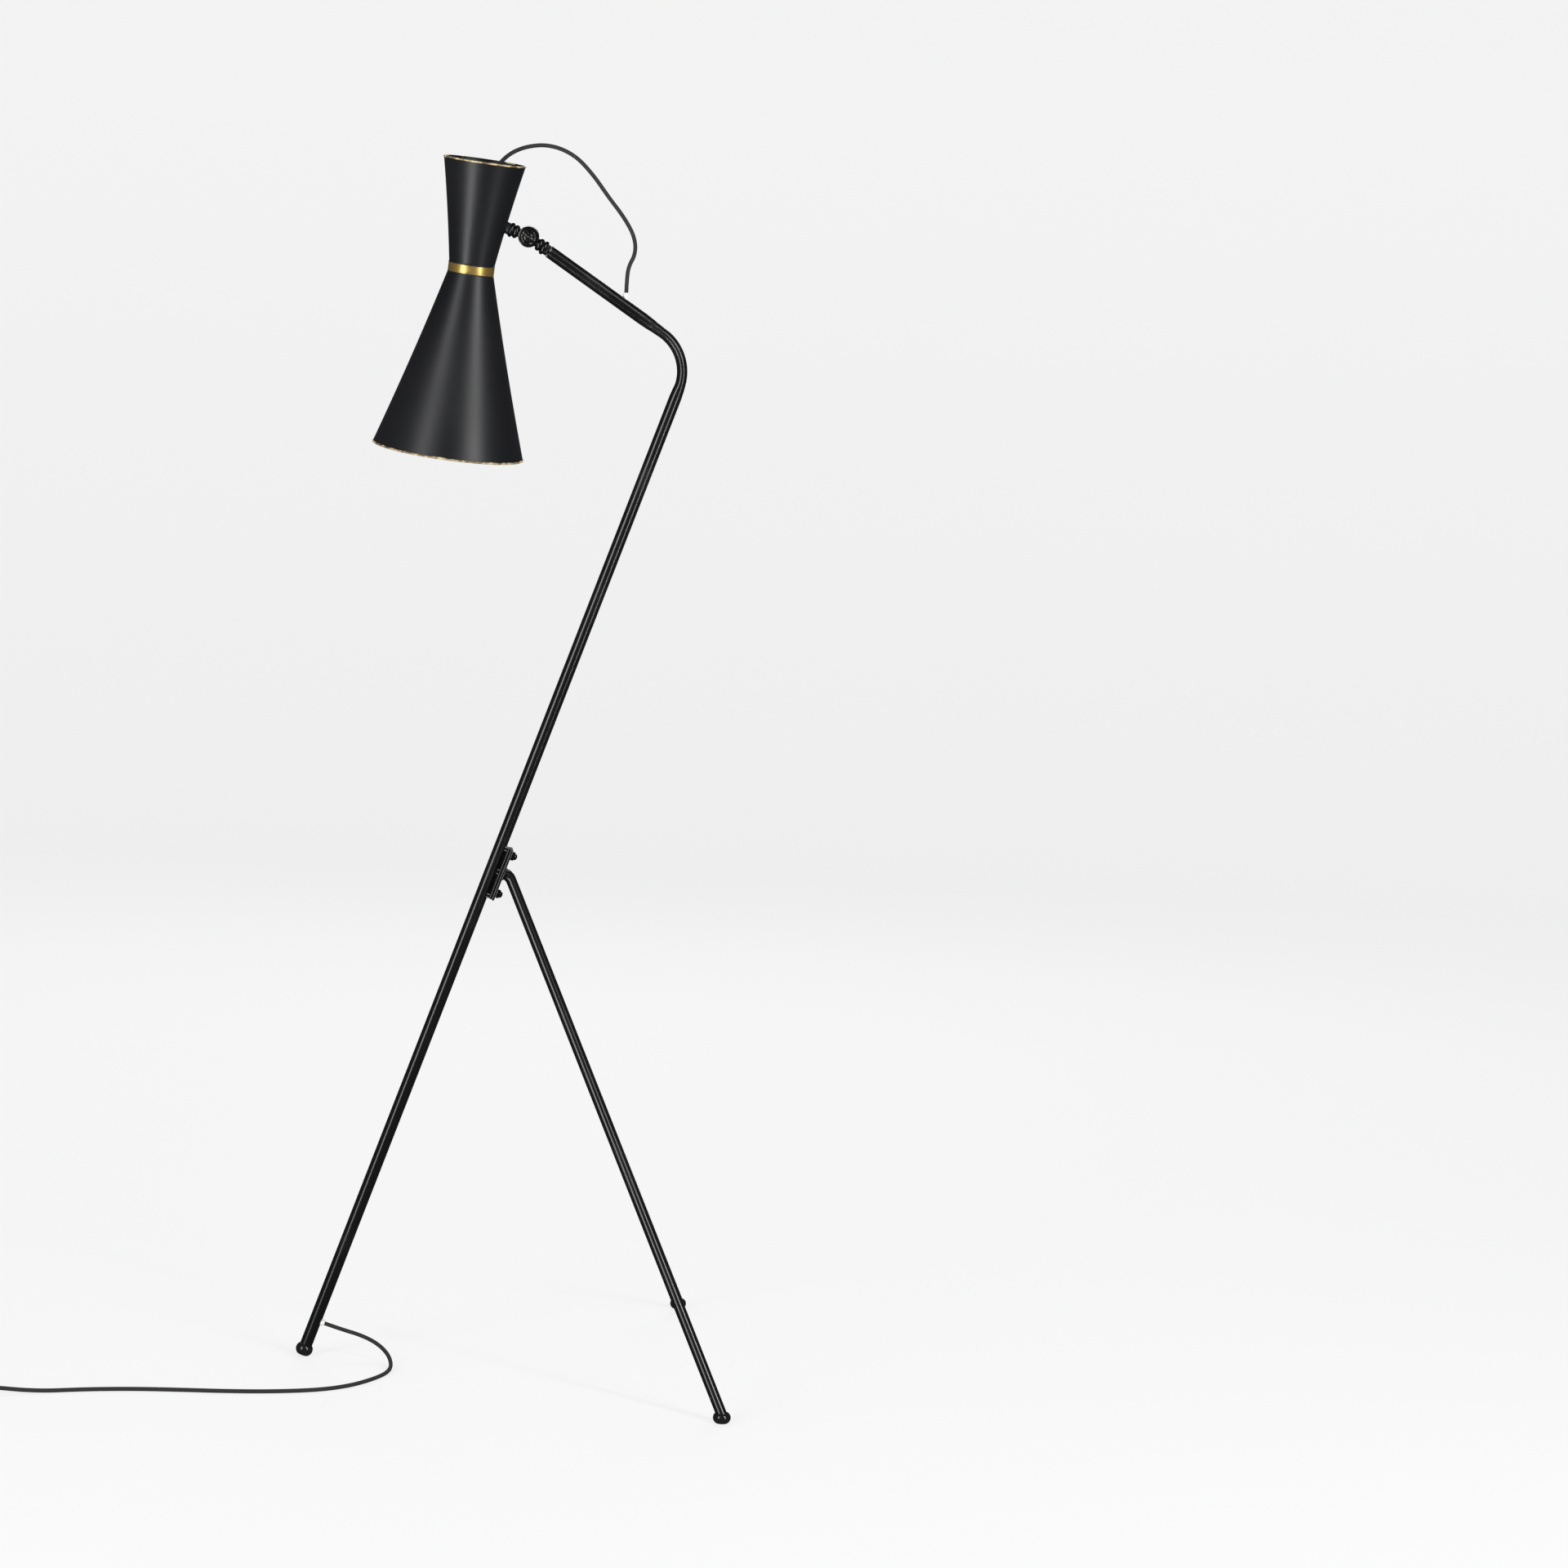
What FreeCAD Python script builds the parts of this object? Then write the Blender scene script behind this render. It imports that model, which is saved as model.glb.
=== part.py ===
import FreeCAD, Part
import math
import os
from FreeCAD import Vector

# Tripod floor lamp: a bent tube is both the rear leg and the arm, two thinner legs are bolted
# to it, and a waisted shade hangs from a knuckle at the arm's end. Millimetres, +Z up.
# X runs from the rear foot towards the two front legs, Y is across, the floor is Z = 0.

# ---- stem and arm: one tube, bent at the top
STEM_FOOT_X = -261.3        # where the stem's axis meets the floor
STEM_LEAN = 18.95           # from upright, leaning to +X
STEM_LENGTH = 1395.4        # floor to the corner where stem and arm axes cross
STEM_D = 16.0
STEM_WALL = 1.2
ARM_DROP = 32.7             # arm axis below level, going to +X
ARM_LENGTH = 256.5          # knuckle centre to the corner
ARM_D = 16.6                # the bender leaves the arm slightly larger than the stem
BEND_RADIUS = 60.0          # centre line
BEND_FLAT = 13.4            # tube height in the bend, where it is pressed flat
STEM_RECOVERY = 12.0        # from the bend to a round stem
ARM_RECOVERY = 32.0         # from the bend to a round arm

# ---- legs
LEG_D = 13.6
LEG_WALL = 1.2
LEG_ROOT = 683.0            # along the stem
LEG_ROOT_Y = 8.0            # half the spacing of the two roots
LEG_NECK = 8.0              # root to the corner of the leg's bend
LEG_BEND_RADIUS = 15.0
LEG_FOOT_X = 260.16
LEG_FOOT_Y = 301.73
LEG_END_Z = 5.5             # centre of the tube's lower end, inside its foot

# ---- feet: turned rubber, a flat sole and a bulging side
FOOT_R = 11.1
FOOT_SOLE_R = 7.2
FOOT_TOP_R = 8.2
FOOT_HEIGHT = 12.6
STEM_FOOT_HEIGHT = 14.0
FOOT_SOLE = 4.0             # rubber under the stem tube
LEG_END_OUT = 5.0           # leg tube's end past its foot's centre, along the tube

# ---- clamp: a bridge welded under the stem and the legs' plate bolted to it
CLAMP_CENTRE = 681.7        # along the stem
CLAMP_LENGTH = 71.0
CLAMP_GAP = 2.6             # stem to bridge
BRIDGE_T = 3.0
BRIDGE_WIDTH = 20.0
PLATE_T = 3.0
PLATE_WIDTH = 35.0
LUG_LENGTH = 6.0
LUG_WIDTH = 12.0
RIB_LENGTH = 7.0
WEB_T = 4.0                 # wall between the lugs, from the bridge to the stem
BOLT_SPACING = 52.4
BOLT_R = 3.0
BOLT_HEAD_R = 5.4
BOLT_HEAD_H = 2.2
WASHER_R = 6.2
WASHER_T = 1.0
NUT_FLATS = 10.0
NUT_HEX = 4.2
NUT_DOME_R = 4.3
NUT_HEIGHT = 7.8

# ---- knuckle, centred on its screw
CHEEK_R = 13.4
CHEEK_T = 6.4
CHEEK_GAP = 1.2             # between the two cheeks
WASHER_THICKNESS = 0.85     # friction washer in that gap
NECK_CLEARANCE = 0.45       # each neck to the other half's cheek
NECK_R = 6.4
NECK_RISE = 4.0             # degrees that the shade's neck stands above square to the wall
SCREW_R = 3.0
SCREW_HEAD_R = 7.4
SCREW_HEAD_T = 2.6
SLOT_WIDTH = 1.7
SLOT_DEPTH = 1.4
SLOT_TURN = 30.0            # slot below level, going to +X
RING_WASHER_R = 9.3
RING_WASHER_T = 1.6
REAR_NUT_FLATS = 10.0
REAR_NUT_T = 4.0
SPIGOT_R = 5.0
SPIGOT_START = 31.2         # end of the plain band, from the knuckle's centre
ARM_START = 31.5            # end of the arm tube, from the knuckle's centre
BUSH_LENGTH = 22.0
SWIVEL_NUT_R = 6.5
SWIVEL_NUT_T = 4.0
RUNNING = 0.05              # radial clearance of a turning fit
FACE_GAP = 0.3              # between faces of pieces that turn on each other

# ---- shade, in its own frame: origin in the middle of the neck ring, +Z up its axis
HEAD_TILT = 5.14            # about the knuckle's screw, top towards +X
HEAD_ROLL = 8.03            # about the arm, top towards -Y
KNUCKLE_OUT = 67.2          # knuckle centre from the shade's axis
KNUCKLE_UP = 50.6           # knuckle centre above the neck ring
SHEET = 1.0
SHADE_TOP = 136.6
SHADE_BOTTOM = -234.8
TOP_R = 52.2
NECK_TOP_R = 28.8
TOP_SAG = 1.0               # how far the upper wall bows in from straight
BOTTOM_R = 97.2
NECK_BOTTOM_R = 29.0
BOTTOM_SAG = 1.6
HEM = 1.1                   # radius of the rolled rim
RING_R = 29.6
RING_HALF = 6.8
COLLAR_R = 28.5             # outside of the sheet under the ring
DISC_T = 1.2
STUB_LENGTH = 11.0          # knuckle thread inside the shade
SHADE_NUT_FLATS = 14.0
SHADE_NUT_T = 4.0
SHADE_WASHER_R = 9.0
SHADE_WASHER_T = 1.2

# ---- lamp holder, under the neck disc
NIPPLE_R = 5.0
NIPPLE_BORE_R = 3.4
NIPPLE_TOP = 12.0
NIPPLE_BOTTOM = -14.0
NIPPLE_NUT_FLATS = 14.0
NIPPLE_NUT_T = 3.0
HOLDER_R = 20.0
HOLDER_WALL = 2.2
CAP_TOP = -6.0
CAP_BOTTOM = -26.0
BODY_BOTTOM = -64.0
INSERT_T = 8.0
SHELL_R = 14.4
SHELL_T = 0.5
BULB_CAP_R = 13.2
BULB_CAP_TOP = -41.0
BULB_CAP_LENGTH = 25.0
BULB_R = 30.0
BULB_CENTRE = -118.0
BULB_NECK_R = 14.0
BULB_WALL = 0.8

# ---- cord and its collars
CORD_R = 2.6
UPPER_EXIT = 151.6          # along the arm from the knuckle's centre
UPPER_COLLAR_R = 3.6
UPPER_COLLAR_RISE = 17.3    # its mouth above the arm's axis
LOWER_EXIT = 50.2           # along the stem
LOWER_COLLAR_R = 4.0
LOWER_COLLAR_OUT = 14.2     # its mouth from the stem's axis
ENTRY_RADIUS = 5.5          # the lead's turn inside the tube, as large as the tube allows
ENTRY_TRIM = ENTRY_RADIUS * 1.2
ARC_SHARE = 0.45            # of the shorter run beside an arc

# Head cord: out of the arm, over in a loop and down into the shade
HEAD_CORD_POINTS = [
    Vector(103.57, 0, 1393.74), Vector(103.57, 0, 1410), Vector(105.2, 0, 1428),
    Vector(114, 0, 1447), Vector(112.5, 0, 1468), Vector(97, 0, 1489),
    Vector(76, 0, 1513.5), Vector(55, 0, 1541), Vector(30, -1, 1565),
    Vector(-2, -2, 1577.5), Vector(-34, -4, 1572.5), Vector(-58, -6, 1557.5),
    Vector(-74, -6, 1534), Vector(-83.5, -2.5, 1506), Vector(-88.5, 1.5, 1476),
    Vector(-92.8, 6.9, 1443.8), Vector(-95.3, 10.6, 1414.2),
]

# Mains lead: down to the floor, round towards -Y and away to the switch
MAINS_LEAD_POINTS = [
    Vector(-231.57, 0, 42.87), Vector(-210.5, 0, 35.64), Vector(-186, -3, 29.5),
    Vector(-164, -14, 21.5), Vector(-149.5, -34, 12), Vector(-145.5, -62, 4.6),
    Vector(-151, -90, 2.7), Vector(-166.5, -119, 2.7), Vector(-191, -150, 2.7),
    Vector(-219, -171.5, 2.7), Vector(-253, -184.5, 2.7), Vector(-301, -192, 2.7),
    Vector(-355, -193, 2.7), Vector(-410, -189.5, 2.7), Vector(-468, -188, 2.7),
    Vector(-526, -193.5, 2.7), Vector(-585, -206.5, 2.7), Vector(-645, -211, 9),
    Vector(-705, -211, 9),
]

# From the switch down to the coil
TAIL_POINTS = [
    Vector(-747, -211, 9), Vector(-796, -211, 9), Vector(-845, -210.7, 8.7),
]

# From the coil to the plug
PLUG_LEAD_POINTS = [
    Vector(-848, -141.3, 3.4), Vector(-812, -140.6, 3.4), Vector(-770, -141, 7),
    Vector(-728, -141, 7),
]

# ---- switch on the lead, turned end for end along X
SWITCH_X = -726.0
SWITCH_Y = -211.0
SWITCH_LENGTH = 64.0
SWITCH_WIDTH = 29.0
SWITCH_HEIGHT = 20.0
SWITCH_WALL = 2.0
SWITCH_SEAM = 9.0           # height of the cord's axis and of the joint between the shells
SWITCH_ROUND = 4.0
BOOT_LENGTH = 22.0
BOOT_ROOT_R = 5.4
BOOT_TIP_R = 3.5
BOOT_NECK_R = 4.2
BOOT_FLANGE_R = 5.4
ROCKER_LENGTH = 21.0
ROCKER_WIDTH = 11.4
ROCKER_TOP = 22.2
ROCKER_BOTTOM = 12.6
ROCKER_PIVOT_Z = 15.2
ROCKER_PIN_R = 1.25
ROCKER_PIN_HALF = 8.0
ROCKER_TILT = 6.0           # each side of level
WINDOW_GAP = 0.6
SWITCH_SCREW_R = 1.5
SWITCH_SCREW_HEAD_R = 2.8
SWITCH_SCREW_Y = 9.6
SWITCH_SCREW_X = 22.0

# ---- coil of spare lead and its two ties
COIL_X = -845.0
COIL_Y = -176.0
COIL_MEAN_R = 29.9
COIL_HALF_WIDTH = 8.4
COIL_HEIGHT = 10.8
TIE_T = 0.8
TIE_WIDTH = 7.0

# ---- plug, lying beside the coil
PLUG_X = -702.0             # face that the pins stand out of
PLUG_Y = -141.0
PLUG_Z = 7.0
PLUG_LENGTH = 30.0
PLUG_WIDTH = 34.0
PLUG_BACK_WIDTH = 20.0
PLUG_HEIGHT = 14.0
PLUG_BOOT = 22.0
PIN_R = 2.0
PIN_LENGTH = 19.0
PIN_DEPTH = 6.0             # held in the plug's body
PIN_NOSE = 1.2
PIN_SPACING = 19.0

# ---- directions and places that follow from the sizes above
UP = Vector(0, 0, 1)
ACROSS = Vector(0, 1, 0)
ORIGIN = Vector(0, 0, 0)


def polar(angle):
    """Unit vector in the XZ plane, the angle in degrees above +X."""
    return Vector(math.cos(math.radians(angle)), 0, math.sin(math.radians(angle)))


STEM_DIR = polar(90 - STEM_LEAN)
STEM_OUT = polar(-STEM_LEAN)                    # square to the stem, on its underside
ARM_DIR = polar(-ARM_DROP)                      # from the knuckle to the corner
STEM_BASE = Vector(STEM_FOOT_X, 0, 0)
CORNER = STEM_BASE + STEM_DIR * STEM_LENGTH
KNUCKLE = CORNER - ARM_DIR * ARM_LENGTH
BEND_TURN = STEM_DIR.getAngle(ARM_DIR * -1)
BEND_TRIM = BEND_RADIUS * math.tan(BEND_TURN / 2)


def on_stem(along, out=0.0, across=0.0):
    """Point by its distance along the stem, out from its underside and across."""
    return STEM_BASE + STEM_DIR * along + STEM_OUT * out + ACROSS * across


def unit(vector):
    return vector * (1.0 / vector.Length)


def placed(shape, origin, along, side):
    """Moves a shape so that its +Z points along and its +X points to the side."""
    turn = FreeCAD.Rotation(side, ORIGIN, along, "ZXY")
    return shape.transformed(FreeCAD.Placement(origin, turn).toMatrix(), copy=True)


def in_head(shape):
    """Moves a shape from the shade's frame to its place in the lamp."""
    moved = shape.transformed(head_placement().toMatrix(), copy=True)
    return moved


def head_placement():
    knuckle = Vector(KNUCKLE_OUT, 0, KNUCKLE_UP)
    to_knuckle = FreeCAD.Placement(knuckle * -1, FreeCAD.Rotation())
    tilt = FreeCAD.Placement(ORIGIN, FreeCAD.Rotation(ACROSS, HEAD_TILT))
    roll = FreeCAD.Placement(ORIGIN, FreeCAD.Rotation(ARM_DIR, HEAD_ROLL))
    home = FreeCAD.Placement(KNUCKLE, FreeCAD.Rotation())
    return home * roll * tilt * to_knuckle


def rolled(shape):
    """Turns a shape about the arm by the head's roll, as the swivel carries it."""
    moved = shape.copy()
    moved.rotate(KNUCKLE, ARM_DIR, HEAD_ROLL)
    return moved


class Outline:
    """Half-section in the XZ plane, closed and turned about Z."""

    def __init__(self, radius, height):
        self.first = Vector(radius, 0, height)
        self.last = self.first
        self.edges = []

    def line(self, radius, height):
        point = Vector(radius, 0, height)
        self.edges.append(Part.LineSegment(self.last, point).toShape())
        self.last = point
        return self

    def arc(self, through_radius, through_height, radius, height):
        point = Vector(radius, 0, height)
        through = Vector(through_radius, 0, through_height)
        self.edges.append(Part.Arc(self.last, through, point).toShape())
        self.last = point
        return self

    def face(self):
        if (self.first - self.last).Length > 1e-6:
            self.line(self.first.x, self.first.z)
        return Part.Face(Part.Wire(self.edges))

    def turned(self):
        return self.face().revolve(ORIGIN, UP, 360)


def cylinder(radius, bottom, top, centre=ORIGIN):
    return Part.makeCylinder(radius, top - bottom, centre + UP * bottom)


def tube(outer, inner, bottom, top):
    return cylinder(outer, bottom, top).cut(cylinder(inner, bottom, top))


def hex_prism(flats, bottom, top):
    radius = flats / math.sqrt(3)
    corners = [Vector(radius * math.cos(k * math.pi / 3), radius * math.sin(k * math.pi / 3), bottom)
               for k in range(7)]
    return Part.Face(Part.makePolygon(corners)).extrude(UP * (top - bottom))


def hex_nut(flats, bore, bottom, top):
    """Hexagonal nut with both ends turned to a chamfer."""
    radius = flats / math.sqrt(3)
    edge = (radius - flats / 2) * 0.6
    turned = (Outline(0, bottom).line(radius - edge, bottom).line(radius, bottom + edge)
              .line(radius, top - edge).line(radius - edge, top).line(0, top).turned())
    return hex_prism(flats, bottom, top).common(turned).cut(cylinder(bore, bottom, top))


def block(length, width, bottom, top, rounding=0.0):
    """Box centred on the Z axis, its upright edges rounded if asked."""
    box = Part.makeBox(length, width, top - bottom, Vector(-length / 2, -width / 2, bottom))
    if rounding:
        upright = [e for e in box.Edges if abs(e.tangentAt(e.FirstParameter).z) > 0.9]
        box = box.makeFillet(rounding, upright)
    return box


def swept(edges, radius):
    """Solid round bar along a chain of tangent edges."""
    first = edges[0]
    start = first.valueAt(first.FirstParameter)
    tangent = first.tangentAt(first.FirstParameter)
    circle = Part.Wire(Part.makeCircle(radius, start, tangent))
    return Part.Wire(edges).makePipeShell([circle], True, False)


def corner_arc(before, corner, after, trim):
    """Tangent arc at a corner: its start, middle and end points and its radius."""
    way_in = unit(corner - before)
    way_out = unit(after - corner)
    turn = way_in.getAngle(way_out)
    radius = trim / math.tan(turn / 2)
    middle = corner + unit(way_out - way_in) * (radius / math.cos(turn / 2) - radius)
    return corner - way_in * trim, middle, corner + way_out * trim, radius


def cord(name, points):
    """Round cord along straight runs joined by arcs as large as the runs allow."""
    edges = []
    radii = []
    start = points[0]
    for before, corner, after in zip(points, points[1:], points[2:]):
        trim = ARC_SHARE * min((corner - before).Length, (after - corner).Length)
        first, middle, last, radius = corner_arc(before, corner, after, trim)
        edges.append(Part.LineSegment(start, first).toShape())
        edges.append(Part.Arc(first, middle, last).toShape())
        start = last
        radii.append(radius)
    edges.append(Part.LineSegment(start, points[-1]).toShape())
    length = sum(edge.Length for edge in edges)
    solid = swept(edges, CORD_R)
    section = math.pi * CORD_R ** 2
    print("%s: %.0f mm long, radii %s, volume / (section x length) = %.4f"
          % (name, length, " ".join("%.0f" % r for r in radii), solid.Volume / (section * length)))
    return solid


# ---- stem tube

def bend_point(along):
    """Centre-line point and direction, measured from where the bend starts."""
    sweep = BEND_RADIUS * BEND_TURN
    if along <= 0:
        return CORNER - STEM_DIR * (BEND_TRIM - along), STEM_DIR
    if along >= sweep:
        return CORNER - ARM_DIR * (BEND_TRIM + along - sweep), ARM_DIR * -1
    start = CORNER - STEM_DIR * BEND_TRIM
    angle = along / BEND_RADIUS
    centre = start - STEM_OUT * BEND_RADIUS
    point = centre + STEM_OUT * (BEND_RADIUS * math.cos(angle)) + STEM_DIR * (BEND_RADIUS * math.sin(angle))
    return point, STEM_DIR * math.cos(angle) - STEM_OUT * math.sin(angle)


def bend_loft(inset):
    """Skin through oval sections; inset is how far inside the tube's surface it runs."""
    sweep = BEND_RADIUS * BEND_TURN
    stem_r = STEM_D / 2
    arm_r = ARM_D / 2
    stations = [(-STEM_RECOVERY, stem_r, 0), (-STEM_RECOVERY * 0.4, stem_r, 0.35),
                (sweep * 0.08, stem_r, 0.9), (sweep * 0.25, stem_r, 1), (sweep * 0.5, stem_r, 1),
                (sweep * 0.75, arm_r, 1), (sweep, arm_r, 0.95), (sweep + ARM_RECOVERY * 0.35, arm_r, 0.7),
                (sweep + ARM_RECOVERY * 0.7, arm_r, 0.2), (sweep + ARM_RECOVERY, arm_r, 0)]
    sections = []
    for along, round_r, flatness in stations:
        point, direction = bend_point(along)
        squeeze = (round_r - BEND_FLAT / 2) * flatness
        wide = round_r + squeeze * 0.8 - inset
        high = round_r - squeeze - inset
        oval = Part.Ellipse(ORIGIN, wide, high).toShape()
        sections.append(Part.Wire(placed(oval, point, direction, ACROSS).Edges))
    return Part.makeLoft(sections, True, False)


def bent_bar(inset, stem_start):
    """The tube's outside, or its bore when inset by the wall."""
    stem_end = STEM_LENGTH - BEND_TRIM - STEM_RECOVERY
    stem = Part.makeCylinder(STEM_D / 2 - inset, stem_end - stem_start, on_stem(stem_start), STEM_DIR)
    arm_end = ARM_LENGTH - BEND_TRIM - ARM_RECOVERY
    arm = Part.makeCylinder(ARM_D / 2 - inset, arm_end - ARM_START, KNUCKLE + ARM_DIR * ARM_START, ARM_DIR)
    return stem, bend_loft(inset), arm


def upper_exit():
    return KNUCKLE + ARM_DIR * UPPER_EXIT


def upper_collar_cylinder(radius, bottom):
    return cylinder(radius, bottom, UPPER_COLLAR_RISE, upper_exit())


def lower_collar_cylinder(radius, inner):
    return Part.makeCylinder(radius, LOWER_COLLAR_OUT - inner, on_stem(LOWER_EXIT, inner), STEM_OUT)


def stem_tube(stem_start):
    pieces = [outer.cut(inner) for outer, inner in
              zip(bent_bar(0, stem_start), bent_bar(STEM_WALL, stem_start))]
    whole = pieces[0].fuse(pieces[1:])
    return (whole.cut(upper_collar_cylinder(UPPER_COLLAR_R, 0))
            .cut(lower_collar_cylinder(LOWER_COLLAR_R, 0)))


def arm_bush():
    bush = tube(ARM_D / 2 - STEM_WALL, SPIGOT_R + RUNNING, ARM_START, ARM_START + BUSH_LENGTH)
    return placed(bush, KNUCKLE, ARM_DIR, ACROSS)


def upper_collar():
    inside = ENTRY_TRIM + 0.1
    return upper_collar_cylinder(UPPER_COLLAR_R, inside).cut(upper_collar_cylinder(CORD_R, inside))


def lower_collar():
    inside = (STEM_D / 2 - STEM_WALL) * 0.85
    return lower_collar_cylinder(LOWER_COLLAR_R, inside).cut(lower_collar_cylinder(CORD_R, inside))


def inner_lead():
    """The lead inside the tube, from collar mouth to collar mouth."""
    low_mouth = on_stem(LOWER_EXIT, LOWER_COLLAR_OUT)
    low_turn = on_stem(LOWER_EXIT)
    high_turn = upper_exit()
    high_mouth = high_turn + UP * UPPER_COLLAR_RISE
    arcs = [corner_arc(low_mouth, low_turn, CORNER, ENTRY_RADIUS * math.tan(math.pi / 4)),
            corner_arc(low_turn, CORNER, high_turn, BEND_TRIM),
            corner_arc(CORNER, high_turn, high_mouth, ENTRY_TRIM)]
    edges = []
    start = low_mouth
    for first, middle, last, radius in arcs:
        edges.append(Part.LineSegment(start, first).toShape())
        edges.append(Part.Arc(first, middle, last).toShape())
        start = last
    edges.append(Part.LineSegment(start, high_mouth).toShape())
    return swept(edges, CORD_R)


# ---- feet, legs and clamp

def foot_blank(height):
    bulge = height * 0.48
    return (Outline(0, 0).line(FOOT_SOLE_R, 0).arc(FOOT_R, bulge, FOOT_TOP_R, height)
            .line(0, height).turned())


def stem_foot():
    """Rubber foot square to the stem, standing on the edge of its sole."""
    foot = placed(foot_blank(STEM_FOOT_HEIGHT), STEM_BASE, STEM_DIR, ACROSS)
    lift = -foot.BoundBox.ZMin / STEM_DIR.z
    foot.translate(STEM_DIR * lift)
    stem_start = lift + FOOT_SOLE
    socket = Part.makeCylinder(STEM_D / 2, STEM_FOOT_HEIGHT * 2, on_stem(stem_start), STEM_DIR)
    return foot.cut(socket), stem_start


def leg_points(side):
    root = on_stem(LEG_ROOT, plate_face(), side * LEG_ROOT_Y)
    return root, root + STEM_OUT * LEG_NECK, Vector(LEG_FOOT_X, side * LEG_FOOT_Y, LEG_END_Z)


def plate_face():
    """Outer face of the legs' plate, from the stem's axis."""
    return STEM_D / 2 + CLAMP_GAP + BRIDGE_T + PLATE_T


def leg(side):
    root, corner, end = leg_points(side)
    turn = (corner - root).getAngle(end - corner)
    first, middle, last, radius = corner_arc(root, corner, end, LEG_BEND_RADIUS * math.tan(turn / 2))
    edges = [Part.LineSegment(root, first).toShape(), Part.Arc(first, middle, last).toShape(),
             Part.LineSegment(last, end).toShape()]
    return swept(edges, LEG_D / 2).cut(swept(edges, LEG_D / 2 - LEG_WALL))


def leg_foot(side):
    root, corner, end = leg_points(side)
    away = unit(corner - end)
    socket = Part.makeCylinder(LEG_D / 2, FOOT_HEIGHT * 3, end, away)
    centre = Vector(end.x, end.y, 0) + Vector(away.x, away.y, 0) * LEG_END_OUT
    return foot_blank(FOOT_HEIGHT).translated(centre).cut(socket)


def on_clamp(shape, out):
    """Lays a shape on the clamp: its +Z points out from the stem, its X runs along the stem."""
    return placed(shape, on_stem(CLAMP_CENTRE, out), STEM_OUT, STEM_DIR)


def bolt_centres():
    return [Vector(side * BOLT_SPACING / 2, 0, 0) for side in (-1, 1)]


def clamp_bridge():
    """Plate with a lug at each end, a rib and a web between, shaped to the tube and welded to it."""
    lowest = -(STEM_D / 2 + CLAMP_GAP)
    bridge = block(CLAMP_LENGTH, BRIDGE_WIDTH, 0, BRIDGE_T, 3)
    for x in (-1, 1):
        lug = block(LUG_LENGTH, LUG_WIDTH, -CLAMP_GAP * 2, 0)
        bridge = bridge.fuse(lug.translated(Vector(x * (CLAMP_LENGTH - LUG_LENGTH) / 2, 0, 0)))
    bridge = bridge.fuse(block(RIB_LENGTH, LUG_WIDTH * 0.7, -CLAMP_GAP * 2, 0))
    bridge = bridge.fuse(block(CLAMP_LENGTH - LUG_LENGTH, WEB_T, -CLAMP_GAP * 2, 0))
    stem = Part.makeCylinder(STEM_D / 2, CLAMP_LENGTH * 2, Vector(-CLAMP_LENGTH, 0, lowest), Vector(1, 0, 0))
    bridge = bridge.cut(stem)
    for centre in bolt_centres():
        bridge = bridge.cut(cylinder(BOLT_R, 0, BRIDGE_T, centre)).cut(countersink(centre))
    return on_clamp(bridge, STEM_D / 2 + CLAMP_GAP)


def countersink(centre):
    return Part.makeCone(BOLT_HEAD_R, BOLT_R, BOLT_HEAD_H, centre)


def leg_plate():
    plate = block(CLAMP_LENGTH, PLATE_WIDTH, 0, PLATE_T, 5)
    for centre in bolt_centres():
        plate = plate.cut(cylinder(BOLT_R, 0, PLATE_T, centre))
    return on_clamp(plate, STEM_D / 2 + CLAMP_GAP + BRIDGE_T)


def clamp_bolts():
    length = BRIDGE_T + PLATE_T + WASHER_T + NUT_HEX
    bolts = [countersink(c).fuse(cylinder(BOLT_R, BOLT_HEAD_H * 0.5, length, c)) for c in bolt_centres()]
    return on_clamp(Part.makeCompound(bolts), STEM_D / 2 + CLAMP_GAP)


def clamp_washers():
    washers = [tube(WASHER_R, BOLT_R, 0, WASHER_T).translated(c) for c in bolt_centres()]
    return on_clamp(Part.makeCompound(washers), plate_face())


def cap_nut():
    """Acorn nut: hexagon, then a tapering dome over a blind thread."""
    dome = (Outline(0, 0).line(NUT_DOME_R, 0).line(NUT_DOME_R, NUT_HEX)
            .arc(NUT_DOME_R * 0.78, NUT_HEX + (NUT_HEIGHT - NUT_HEX) * 0.72, 0, NUT_HEIGHT).turned())
    return hex_nut(NUT_FLATS, BOLT_R, 0, NUT_HEX).fuse(dome).cut(cylinder(BOLT_R, 0, NUT_HEX))


def cap_nuts():
    nuts = [cap_nut().translated(c) for c in bolt_centres()]
    return on_clamp(Part.makeCompound(nuts), plate_face() + WASHER_T)


# ---- knuckle: lathe frames have +Z running from the screw along the neck

def cheek(side):
    """Disc on the screw's axis, on the +Y or the -Y side of the middle."""
    start = Vector(0, side * CHEEK_GAP / 2, 0)
    return Part.makeCylinder(CHEEK_R, CHEEK_T, start, ACROSS * side)


def room_for_other_cheek(side):
    """Space on one side of the middle for the other half's cheek to turn in."""
    start = Vector(0, side * CHEEK_GAP / 2, 0)
    return Part.makeCylinder(CHEEK_R + NECK_CLEARANCE, CHEEK_T * 2, start, ACROSS * -side)


def screw_hole(radius):
    return Part.makeCylinder(radius, CHEEK_T * 6, ACROSS * (-CHEEK_T * 3), ACROSS)


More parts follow.
